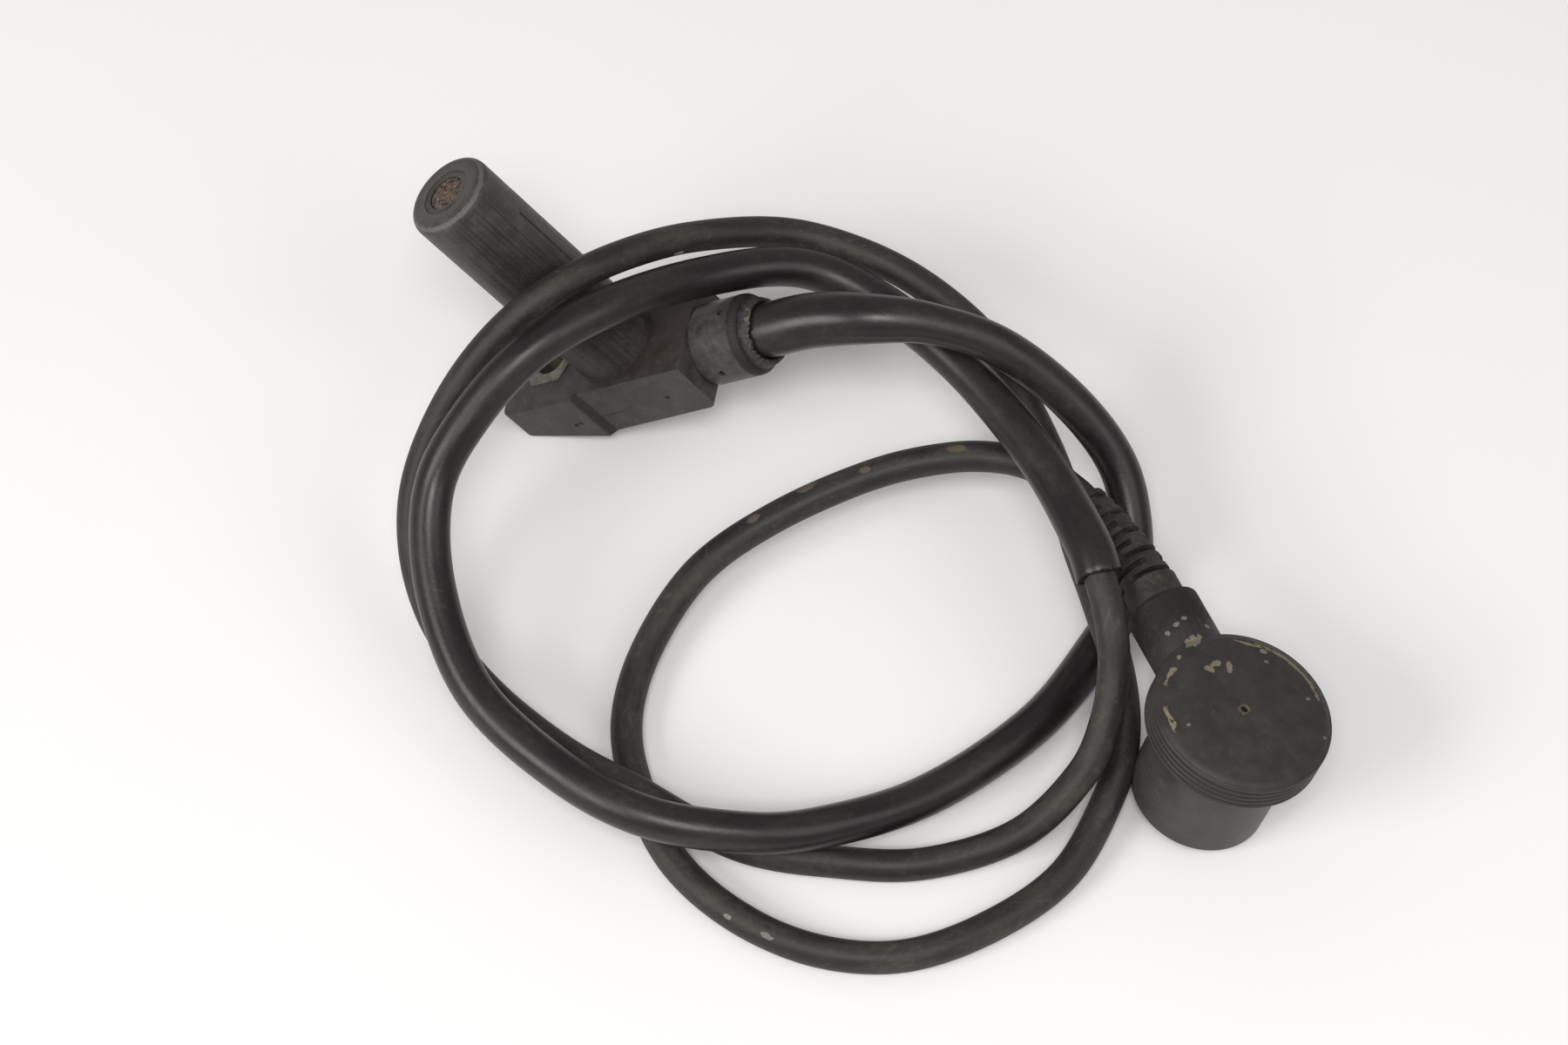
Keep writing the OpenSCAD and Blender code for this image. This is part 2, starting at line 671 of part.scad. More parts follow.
// Three cores that fan out from the cable's end to the contacts
module connector_leads() {
    core_gap = 2 * plug_lead_r + fit;
    color([0.55, 0.3, 0.22]) lay_plug() for (i = [-1 : 1]) {
        translate([0, i * contact_at, contact_back + fit])
            cylinder(r = plug_lead_r, h = neck_z - contact_back - fit);
        translate([0, i * contact_at, neck_z]) sphere(r = plug_lead_r);
        run = cable_stop - fit;
        drift = i * (contact_at - core_gap);
        translate([0, i * contact_at, neck_z]) rotate([0, 0, -atan2(drift, run)]) rotate([0, 90, 0])
            cylinder(r = plug_lead_r, h = norm([run, drift]) - plug_lead_r);
    }
}

sensor_housing();
pole_piece();
bar_magnet();
coil_bobbin();
coil_winding();
terminal_strips();
sensor_leads();
mount_bush();
cable_gland();
gland_seal();
cable_sleeve();
cable();
bend_relief();
connector_cap();
connector_shroud();
contact_insert();
signal_contacts();
shield_contact();
face_seal();
crimp_ferrule();
connector_leads();
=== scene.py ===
"""Crankshaft position sensor with a sleeved cable and a round plug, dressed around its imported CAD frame."""

import logging
import math
from dataclasses import dataclass, field
from enum import Enum
from typing import Optional, Sequence

import bmesh
import bpy
import numpy as np
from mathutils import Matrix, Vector


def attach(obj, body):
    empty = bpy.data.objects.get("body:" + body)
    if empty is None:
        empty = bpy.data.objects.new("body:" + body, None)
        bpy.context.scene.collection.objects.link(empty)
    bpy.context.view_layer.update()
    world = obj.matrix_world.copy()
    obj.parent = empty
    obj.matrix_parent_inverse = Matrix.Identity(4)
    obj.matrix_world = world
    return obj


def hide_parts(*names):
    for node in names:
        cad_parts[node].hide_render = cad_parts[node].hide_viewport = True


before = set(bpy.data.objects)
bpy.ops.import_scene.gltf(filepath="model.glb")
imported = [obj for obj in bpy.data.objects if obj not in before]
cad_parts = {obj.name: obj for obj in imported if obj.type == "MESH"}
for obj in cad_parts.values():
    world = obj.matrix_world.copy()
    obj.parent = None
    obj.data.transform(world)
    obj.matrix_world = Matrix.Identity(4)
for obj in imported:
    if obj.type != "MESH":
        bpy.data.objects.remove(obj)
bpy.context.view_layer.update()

LOG = logging.getLogger("sensor_scene")
MM = 0.001
BODY = "root"

Colour = tuple[float, float, float]
Triple = tuple[float, float, float]
Socket = bpy.types.NodeSocket

ZERO: Triple = (0.0, 0.0, 0.0)
UNIT: Triple = (1.0, 1.0, 1.0)
WELD = 1e-7
FLAT_JOIN = math.radians(0.4)
STRAIGHT_JOIN = math.radians(12)
SHARP_EDGE = math.radians(32)
NEAR_RADIUS = 0.03
RADIAL_LEAN = math.radians(15)


# Frames of the sub-assemblies


@dataclass(frozen=True)
class RestPose:
    """Where a sub-assembly's own frame lies in the row frame: place in mm and turns in degrees."""

    place: Triple = ZERO
    turn: Triple = ZERO

    def matrix(self) -> np.ndarray:
        """Rotation matrix of the turns, x first, then y, then z."""
        ax, ay, az = (math.radians(a) for a in self.turn)
        rx = np.array([[1, 0, 0], [0, math.cos(ax), -math.sin(ax)], [0, math.sin(ax), math.cos(ax)]])
        ry = np.array([[math.cos(ay), 0, math.sin(ay)], [0, 1, 0], [-math.sin(ay), 0, math.cos(ay)]])
        rz = np.array([[math.cos(az), -math.sin(az), 0], [math.sin(az), math.cos(az), 0], [0, 0, 1]])
        return rz @ ry @ rx

    def to_row(self, points: np.ndarray) -> np.ndarray:
        """Points of the own frame in mm, as row-frame points in metres.

        Args:
            points: array whose last axis holds x, y, z in mm.

        Returns:
            Array of the same shape, turned, moved and in metres.
        """
        return (np.asarray(points, float) @ self.matrix().T + np.array(self.place)) * MM


@dataclass(frozen=True)
class SensorSizes:
    """Sizes of the sensor in mm and degrees, as in the part's source.

    Only the seal's rise, flange, crest and tear depth are the scene's own: those of the worn ring.
    """

    lean: float = 35.4
    probe_r: float = 9.0
    probe_len: float = 53.0
    tip_round: float = 2.0
    ear_reach: float = 26.0
    ear_tip_t: float = 7.1
    block_reach: float = 19.0
    gland_len: float = 12.0
    gland_r: float = 8.25
    gland_drop: float = 7.8
    lip_round: float = 1.6
    gland_pits: tuple[tuple[float, float], ...] = ((178.0, 8.25), (-92.0, 5.0))
    mouth_depth: float = 3.5
    sleeve_root_r: float = 5.5
    seal_gap: float = 1.1
    seal_rise: float = 2.6
    seal_flange: float = 0.8
    seal_crest: float = 0.9
    tear_turn: float = -120.0
    tear_depth: float = 4.2
    pole_r: float = 3.75
    pole_len: float = 31.0
    pole_recess: float = 0.3
    fit: float = 0.05

    def pose(self) -> RestPose:
        """Rest pose from the lean: the ear's end on the floor, the sensor's box centred on the origin."""
        s, c = math.sin(math.radians(self.lean)), math.cos(math.radians(self.lean))
        rise = s * self.ear_reach + c * self.ear_tip_t
        tip = -s * (self.probe_len - self.tip_round) - c * (self.probe_r - self.tip_round) - self.tip_round
        reach = self.block_reach + self.gland_len - self.lip_round
        lip = c * reach + s * (self.gland_drop + self.gland_r - self.lip_round) + self.lip_round
        return RestPose((-(tip + lip) / 2, 0.0, rise), (0.0, -self.lean, 0.0))


@dataclass(frozen=True)
class PlugSizes:
    """Sizes of the plug and its bend relief in mm and degrees, as in the part's source.

    Only groove_r is the scene's own: the radius of the painted shade in the grooves between the cap's ribs.
    """

    tilt: float = 12.0
    turn: float = 124.0
    place: tuple[float, float] = (129.5, -69.0)
    shroud_r: float = 13.4
    mouth_chamfer: float = 0.4
    height: float = 29.4
    cap_foot: float = 22.2
    groove_r: float = 16.7
    ribs: int = 5
    rib_pitch: float = 1.32
    neck_z: float = 21.6
    neck_r: float = 7.25
    neck_reach: float = 29.0
    boot_len: float = 27.0
    collar_len: float = 5.0
    rows: int = 9
    row_bend: float = 1.5
    bend_roll: float = -30.0
    cable_stop: float = 18.5
    cable_lead_in: float = 3.0

    def pose(self) -> RestPose:
        """Rest pose on the low side of the mouth's rim."""
        rise = math.sin(math.radians(self.tilt)) * (self.shroud_r - self.mouth_chamfer)
        return RestPose((self.place[0], self.place[1], rise), (self.tilt, 0.0, self.turn))

    def cable_end(self) -> np.ndarray:
        """The cable's last points in the plug's frame, from before the bend relief to its stop in the neck.

        Each row of the bend relief is a straight step that turns by row_bend against the one before it, in
        a plane rolled about the neck's axis.

        Returns:
            (rows + 3, 3) points in mm.
        """
        pitch = (self.boot_len - self.collar_len) / self.rows
        turns = np.radians(self.row_bend * (np.arange(self.rows) + 0.5))
        steps = np.stack([np.cos(turns), np.sin(turns)], axis=1)
        flat = np.vstack([[0.0, 0.0], np.cumsum(pitch * steps, axis=0)])
        flat = np.vstack([flat[-1] + self.cable_lead_in * steps[-1], flat[::-1]])
        roll = math.radians(self.bend_roll)
        reach = self.neck_reach + self.collar_len
        sway, lift = flat[:, 1] * math.cos(roll), flat[:, 1] * math.sin(roll)
        bent = np.stack([reach + flat[:, 0], sway, self.neck_z + lift], axis=1)
        return np.vstack([bent, [self.cable_stop, 0.0, self.neck_z]])


SENSOR = SensorSizes()
PLUG = PlugSizes()
SENSOR_POSE = SENSOR.pose()
PLUG_POSE = PLUG.pose()


class PatternFrame(Enum):
    """What a pattern's coordinates are measured in."""

    ROW = "row"
    SENSOR = "sensor"
    PLUG = "plug"
    CORD = "cord"


# Mesh helpers


def add_mesh(
    name: str, points: np.ndarray, quads: np.ndarray, uv: Optional[np.ndarray] = None
) -> bpy.types.Object:
    """Makes an object from whole arrays.

    Args:
        name: object name.
        points: (n, 3) row-frame points in metres.
        quads: (f, 4) or (f, 3) vertex indices, outwards by the right-hand rule.
        uv: optional (f * corners, 2) map along and round the piece.

    Returns:
        The linked object, smooth shaded.
    """
    mesh = bpy.data.meshes.new(name)
    corners = quads.shape[1]
    mesh.vertices.add(len(points))
    mesh.vertices.foreach_set("co", points.astype(np.float32).ravel())
    mesh.loops.add(quads.size)
    mesh.loops.foreach_set("vertex_index", quads.astype(np.int32).ravel())
    mesh.polygons.add(len(quads))
    mesh.polygons.foreach_set("loop_start", np.arange(0, quads.size, corners, dtype=np.int32))
    mesh.polygons.foreach_set("use_smooth", np.ones(len(quads), bool))
    if uv is not None:
        layer = mesh.uv_layers.new(name="along")
        layer.uv.foreach_set("vector", uv.astype(np.float32).ravel())
    mesh.validate()
    mesh.update(calc_edges=True)
    obj = bpy.data.objects.new(name, mesh)
    bpy.context.scene.collection.objects.link(obj)
    return obj


def ring_quads(rows: int, cols: int, closed: bool = False) -> np.ndarray:
    """Quads of a grid whose columns close on themselves.

    Args:
        rows: number of rings.
        cols: points in a ring.
        closed: whether the last ring joins the first.

    Returns:
        (faces, 4) indices, in the order ring, next ring, back.
    """
    i = np.arange(rows if closed else rows - 1)[:, None]
    k = np.arange(cols)[None, :]
    here, there = i * cols, (i + 1) % rows * cols
    n = (k + 1) % cols
    return np.stack([here + k, there + k, there + n, here + n], axis=-1).reshape(-1, 4)


def ripple(x: np.ndarray, waves: Sequence[float], seed: int) -> np.ndarray:
    """Smooth random waviness: a sum of sines of the given wavelengths with seeded phases, about -1 to 1.

    Args:
        x: positions.
        waves: wavelengths in the unit of x.
        seed: seed of the phases.

    Returns:
        Array of the shape of x.
    """
    phases = np.random.default_rng(seed).uniform(0, 2 * math.pi, len(waves))
    total = sum(np.sin(2 * math.pi * x / w + p) for w, p in zip(waves, phases))
    return total / len(waves)


def smooth_route(points: np.ndarray, step: float) -> np.ndarray:
    """Catmull-Rom curve through the points, sampled at even arc length.

    Each span is the cubic through its two ends with tangents of half the chord between their neighbours.

    Args:
        points: (n, 3) route in mm.
        step: spacing of the even samples in mm.

    Returns:
        (m, 3) samples in mm.
    """
    p = np.vstack([2 * points[0] - points[1], points, 2 * points[-1] - points[-2]])
    samples_per_span = 24
    t = np.linspace(0, 1, samples_per_span, endpoint=False)[None, :, None]
    a, b, c, d = (p[i : len(p) - 3 + i][:, None, :] for i in range(4))
    square, cube = 2 * a - 5 * b + 4 * c - d, 3 * b - a - 3 * c + d
    spans = 0.5 * (2 * b + (c - a) * t + square * t**2 + cube * t**3)
    line = np.vstack([spans.reshape(-1, 3), points[-1]])
    along = arc_length(line)
    at = np.linspace(0, along[-1], int(math.ceil(along[-1] / step)) + 1)
    return np.stack([np.interp(at, along, line[:, k]) for k in range(3)], axis=1)


def arc_length(line: np.ndarray) -> np.ndarray:
    """Length along a line at each of its points, from 0."""
    return np.concatenate([[0.0], np.cumsum(np.linalg.norm(np.diff(line, axis=0), axis=1))])


def carried_frames(line: np.ndarray) -> tuple[np.ndarray, np.ndarray, np.ndarray]:
    """Tangent, side and up at each point of a line: side is tangent cross z, up is side cross tangent.

    Args:
        line: (n, 3) points, nowhere vertical.

    Returns:
        Three (n, 3) arrays of unit vectors.
    """
    tangent = np.gradient(line, axis=0)
    tangent /= np.linalg.norm(tangent, axis=1, keepdims=True)
    side = np.cross(tangent, np.array([0.0, 0.0, 1.0]))
    side /= np.linalg.norm(side, axis=1, keepdims=True)
    return tangent, side, np.cross(side, tangent)


def tube_points(line: np.ndarray, radii: np.ndarray) -> np.ndarray:
    """Rings round a line: centre + r * (cos a * side + sin a * up), with a from 0 to a full turn.

    Args:
        line: (n, 3) centres.
        radii: (n, m) radius at each ring and angle.

    Returns:
        (n, m, 3) points.
    """
    _, side, up = carried_frames(line)
    a = np.linspace(0, 2 * math.pi, radii.shape[1], endpoint=False)
    round_ring = np.cos(a)[None, :, None] * side[:, None, :] + np.sin(a)[None, :, None] * up[:, None, :]
    return line[:, None, :] + radii[:, :, None] * round_ring


def grid_uv(along: np.ndarray, quads: np.ndarray, cols: int) -> np.ndarray:
    """UV for a tube's quads: metres along it and its share of a turn, with the seam's last column at 1.

    Args:
        along: arc length of each ring in mm.
        quads: quads made by ring_quads.
        cols: points in a ring.

    Returns:
        (f * 4, 2) array.
    """
    row, col = np.divmod(quads, cols)
    wraps = (col.max(axis=1) - col.min(axis=1) > 1)[:, None] & (col == 0)
    return np.stack([along[row] * MM, np.where(wraps, cols, col) / cols], axis=-1).reshape(-1, 2)


def put_tube(
    name: str, rings: np.ndarray, along: Optional[np.ndarray] = None, closed: bool = False
) -> bpy.types.Object:
    """Joins rings of points into a closed skin: an open row of rings gets a flat face in each end.

    Args:
        name: piece name.
        rings: (n, m, 3) row-frame points in metres.
        along: arc length of each ring in mm, which gives the piece a map along and round it.
        closed: whether the last ring joins the first.

    Returns:
        The piece, riding on the root body.
    """
    rows, cols = rings.shape[:2]
    quads = ring_quads(rows, cols, closed)
    uv = None if along is None else grid_uv(along, quads, cols)
    obj = add_mesh(name, rings.reshape(-1, 3), quads, uv)
    work = bmesh.new()
    work.from_mesh(obj.data)
    bmesh.ops.holes_fill(work, edges=[e for e in work.edges if e.is_boundary], sides=0)
    bmesh.ops.recalc_face_normals(work, faces=work.faces)
    work.to_mesh(obj.data)
    work.free()
    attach(obj, BODY)
    return obj


def rounded_copy(node: str, name: str, width: float, segments: int = 2) -> bpy.types.Object:
    """Copies a CAD node's mesh, merges its triangles and rounds its sharp outer edges with a bevel.

    Args:
        node: CAD node, which the copy replaces.
        name: name of the new piece.
        width: bevel width in mm.
        segments: bevel segments.

    Returns:
        The new piece, riding on the root body.
    """
    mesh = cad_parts[node].data.copy()
    mesh.name = name
    mesh.materials.clear()
    work = bmesh.new()
    work.from_mesh(mesh)
    bmesh.ops.remove_doubles(work, verts=work.verts, dist=WELD)
    bmesh.ops.dissolve_limit(work, angle_limit=FLAT_JOIN, verts=work.verts, edges=work.edges)
    on_one_line = [v for v in work.verts if len(v.link_edges) == 2]
    between = [v for v in on_one_line if v.calc_edge_angle(math.pi) < STRAIGHT_JOIN]
    bmesh.ops.dissolve_verts(work, verts=between)
    weight = work.edges.layers.float.new("bevel_weight_edge")
    for edge in work.edges:
        edge[weight] = float(edge.is_manifold and edge.is_convex and edge.calc_face_angle() > SHARP_EDGE)
    work.to_mesh(mesh)
    work.free()
    mesh.polygons.foreach_set("use_smooth", np.ones(len(mesh.polygons), bool))
    mesh.set_sharp_from_angle(angle=SHARP_EDGE)
    obj = bpy.data.objects.new(name, mesh)
    bpy.context.scene.collection.objects.link(obj)
    bevel = obj.modifiers.new("edges", "BEVEL")
    bevel.width = width * MM
    bevel.segments = segments
    bevel.limit_method = "WEIGHT"
    bevel.miter_outer = "MITER_ARC"
    bevel.harden_normals = True
    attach(obj, BODY)
    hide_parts(node)
    return obj


def true_normals(obj: bpy.types.Object, pose: RestPose, height: float, radius: float) -> None:
    """Gives the corners on a cylinder along the own frame's x axis their exact radial normal.

    A corner counts when it lies within NEAR_RADIUS of the radius in mm and its face leans less than
    RADIAL_LEAN from radial.

    Args:
        obj: the piece.
        pose: its sub-assembly's rest pose.
        height: z of the cylinder's axis in mm.
        radius: its radius in mm.
    """
    mesh = obj.data
    corners, faces = len(mesh.loops), len(mesh.polygons)
    points, at = np.empty(3 * len(mesh.vertices)), np.empty(corners, int)
    shaded, flat, sides = np.empty(3 * corners), np.empty(3 * faces), np.empty(faces, int)
    mesh.vertices.foreach_get("co", points)
    mesh.loops.foreach_get("vertex_index", at)
    mesh.corner_normals.foreach_get("vector", shaded)
    mesh.polygons.foreach_get("normal", flat)
    mesh.polygons.foreach_get("loop_total", sides)
    turn = pose.matrix()
    axis = np.array([0.0, 0.0, height])
    local = (points.reshape(-1, 3)[at] / MM - np.array(pose.place)) @ turn - axis
    away = np.linalg.norm(local[:, 1:], axis=1)
    radial = local * np.array([0.0, 1.0, 1.0]) / np.maximum(away, 1e-9)[:, None] @ turn.T
    lean = (radial * np.repeat(flat.reshape(-1, 3), sides, axis=0)).sum(axis=1)
    on = (np.abs(away - radius) < NEAR_RADIUS) & (lean > math.cos(RADIAL_LEAN))
    mesh.normals_split_custom_set(np.where(on[:, None], radial, shaded.reshape(-1, 3)).tolist())


def dress(obj: bpy.types.Object, finish: bpy.types.Material) -> None:
    """Gives a piece its material."""
    obj.data.materials.append(finish)
    LOG.info("piece %s, %d faces", obj.name, len(obj.data.polygons))


# Material workbench


class Bench:
    """A material's node tree with short calls for the nodes that the finishes share."""

    def __init__(self, name: str) -> None:
        """Starts an empty material with a Principled shader on its output."""
        self.material = bpy.data.materials.new(name)
        self.material.use_nodes = True
        self.tree = self.material.node_tree
        self.tree.nodes.clear()
        self.shader = self.tree.nodes.new("ShaderNodeBsdfPrincipled")
        output = self.tree.nodes.new("ShaderNodeOutputMaterial")
        self.tree.links.new(self.shader.outputs["BSDF"], output.inputs["Surface"])

    def put(self, kind: str, inputs: Optional[dict] = None, **props: object) -> bpy.types.Node:
        """Adds a node, sets its properties and sets or links its inputs.

        Args:
            kind: node type.
            inputs: input name or index to a value or a socket.
            props: node properties.

        Returns:
            The node.
        """
        node = self.tree.nodes.new(kind)
        for key, value in props.items():
            setattr(node, key, value)
        for key, value in (inputs or {}).items():
            self.feed(node.inputs[key], value)
        return node

    def feed(self, socket: Socket, value: object) -> None:
        """Links a socket, or sets the value, to an input."""
        if isinstance(value, bpy.types.NodeSocket):
            self.tree.links.new(value, socket)
        elif isinstance(value, (tuple, list)) and socket.type == "RGBA":
            socket.default_value = (*value[:3], 1.0)
        else:
            socket.default_value = value

    def coords(self, where: PatternFrame, radius: float = 0.0) -> Socket:
        """Pattern coordinates in metres, in the asked frame.

        A cord's are those of the same cord laid out straight: x along it, y and z round its axis.

        Args:
            where: the frame.
            radius: a cord's radius in mm.

        Returns:
            A vector socket.
        """
        if where is PatternFrame.CORD:
            along, turn, _ = self.axes(self.put("ShaderNodeUVMap", uv_map="along").outputs["UV"])
            angle = self.calc("MULTIPLY", turn, 2 * math.pi)
            y = self.calc("MULTIPLY", self.calc("COSINE", angle), radius * MM)
            z = self.calc("MULTIPLY", self.calc("SINE", angle), radius * MM)
            return self.put("ShaderNodeCombineXYZ", {"X": along, "Y": y, "Z": z}).outputs["Vector"]
        row = self.put("ShaderNodeTexCoord").outputs["Object"]
        pose = {PatternFrame.SENSOR: SENSOR_POSE, PatternFrame.PLUG: PLUG_POSE}.get(where)
        if pose is None:
            return row
        place = tuple(x * MM for x in pose.place)
        turn = tuple(math.radians(a) for a in pose.turn)
        return self.mapped(row, place, turn, UNIT)

    def mapped(self, vector: Socket, place: Triple, turn: Triple, scale: Triple) -> Socket:
        """The vector measured from a place, turned back and divided by a scale."""
        node = self.put("ShaderNodeMapping", {"Vector": vector}, vector_type="TEXTURE")
        node.inputs["Location"].default_value = place
        node.inputs["Rotation"].default_value = turn
        node.inputs["Scale"].default_value = scale
        return node.outputs["Vector"]

    def stretched(self, vector: Socket, scale: Triple) -> Socket:
        """The vector divided by a scale, which draws a pattern out along the axes with a large one."""
        return self.mapped(vector, ZERO, ZERO, scale)

    def noise(self, vector: Socket, scale: float, detail: float = 4.0, rough: float = 0.55) -> Socket:
        """Fractal noise, about 0.25 to 0.75."""
        inputs = {"Vector": vector, "Scale": scale, "Detail": detail, "Roughness": rough}
        return self.put("ShaderNodeTexNoise", inputs).outputs["Fac"]

    def cells(self, vector: Socket, scale: float) -> Socket:
        """Distance to the nearest of scattered points."""
        return self.put("ShaderNodeTexVoronoi", {"Vector": vector, "Scale": scale}).outputs["Distance"]

    def calc(self, operation: str, a: object, b: object = 0.0, clamp: bool = False) -> Socket:
        """One arithmetic step on two values."""
        return self.put("ShaderNodeMath", {0: a, 1: b}, operation=operation, use_clamp=clamp).outputs[0]

    def span(
        self, value: Socket, low: float, high: float, to_low: float = 0.0, to_high: float = 1.0
    ) -> Socket:
        """Smooth step of a value from low to high, onto to_low and to_high."""
        inputs = {"Value": value, "From Min": low, "From Max": high, "To Min": to_low, "To Max": to_high}
        node = self.put("ShaderNodeMapRange", inputs, interpolation_type="SMOOTHSTEP")
        return node.outputs["Result"]

    def blend(self, amount: object, a: object, b: object) -> Socket:
        """Colour between a and b."""
        node = self.put("ShaderNodeMix", data_type="RGBA")
        self.feed(node.inputs["Factor"], amount)
        self.feed(node.inputs[6], a)
        self.feed(node.inputs[7], b)
        return node.outputs[2]

    def axes(self, vector: Socket) -> tuple[Socket, Socket, Socket]:
        """The three parts of a vector."""
        out = self.put("ShaderNodeSeparateXYZ", {"Vector": vector}).outputs
        return out["X"], out["Y"], out["Z"]

    def length(self, vector: Socket) -> Socket:
        """Length of a vector."""
        return self.put("ShaderNodeVectorMath", {0: vector}, operation="LENGTH").outputs["Value"]

    def spot(self, vector: Socket, stain: "Stain", ragged: Socket) -> Socket:
        """Patch of a stain: 1 inside its ellipsoid or ring, with the edge softened and moved by noise.

        Args:
            vector: pattern coordinates.
            stain: the patch.
            ragged: noise that breaks the edge up.

        Returns:
            Mask from 0 to the stain's strength.
        """
        place = tuple(x * MM for x in stain.place)
        size = tuple(x * MM for x in stain.size)
        turn = tuple(math.radians(a) for a in stain.turn)
        if stain.ring > 0:
            x, y, z = self.axes(self.mapped(vector, place, turn, UNIT))
            flat = self.put("ShaderNodeCombineXYZ", {"X": x, "Y": y}).outputs["Vector"]
            across = self.calc("SUBTRACT", self.length(flat), stain.ring * MM)
            parts = {"X": self.calc("DIVIDE", across, size[0]), "Y": self.calc("DIVIDE", z, size[2])}
            away = self.length(self.put("ShaderNodeCombineXYZ", parts).outputs["Vector"])
        else:
            away = self.length(self.mapped(vector, place, turn, size))
        if stain.lines is not None:
            ragged = self.noise(self.stretched(vector, stain.lines), 1 / (stain.line_size * MM), 4, 0.6)
        shift = self.calc("MULTIPLY", self.calc("SUBTRACT", ragged, 0.5), 2 * stain.ragged)
        mask = self.span(self.calc("ADD", away, shift), 1.0, 1.0 - stain.soft, 0.0, stain.strength)
        if stain.within is not None:
            mask = self.calc("MULTIPLY", mask, self.spot(vector, stain.within, ragged))
        return mask

    def edge_wear(self, radius: float, low: float, high: float) -> Socket:
        """Mask of the convex and concave edges: how far the rounded normal leaves the face's own.

        Args:
            radius: rounding in mm.
            low: smallest departure that shows.
            high: departure with full effect.

        Returns:
            Mask from 0 to 1.
        """
        rounded = self.put("ShaderNodeBevel", {"Radius": radius * MM}, samples=4).outputs["Normal"]
        flat = self.put("ShaderNodeNewGeometry").outputs["True Normal"]
        both = self.put("ShaderNodeVectorMath", {0: rounded, 1: flat}, operation="DOT_PRODUCT")
        return self.span(self.calc("SUBTRACT", 1.0, both.outputs["Value"]), low, high)

    def relief(self, height: Socket, depth: float, normal: Optional[Socket] = None) -> Socket:
        """Bump normal from a height of 0 to 1 that stands for a depth in mm."""
        inputs: dict = {"Height": height, "Distance": depth * MM, "Strength": 1.0}
        if normal is not None:
            inputs["Normal"] = normal
        return self.put("ShaderNodeBump", inputs).outputs["Normal"]

    def finish(
        self, colour: object, roughness: object, normal: Optional[Socket] = None, **fixed: float
    ) -> bpy.types.Material:
        """Feeds the shader and returns the material.

        Args:
            colour: base colour or socket.
            roughness: value or socket.
            normal: optional normal socket.
            fixed: other shader inputs by name, with underscores for spaces.

        Returns:
            The material.
        """
        self.feed(self.shader.inputs["Base Color"], colour)
        self.feed(self.shader.inputs["Roughness"], roughness)
        if normal is not None:
            self.feed(self.shader.inputs["Normal"], normal)
        for key, value in fixed.items():
            self.shader.inputs[key.replace("_", " ")].default_value = value
        return self.material


# Finishes


@dataclass(frozen=True)
class Stain:
    """A patch of another colour on a piece, in mm and degrees in its pattern frame.

    It is an ellipsoid, or a ring of the given radius about its own z. Its edge is drawn out along lines
    where their scale is given, and it is kept within another patch where one is named.
    """

    place: Triple
    size: Triple
    colour: Colour = ZERO
    strength: float = 1.0
    turn: Triple = ZERO
    ragged: float = 0.9
    soft: float = 0.2
    ring: float = 0.0
    lines: Optional[Triple] = None
    line_size: float = 0.6
    within: Optional["Stain"] = None


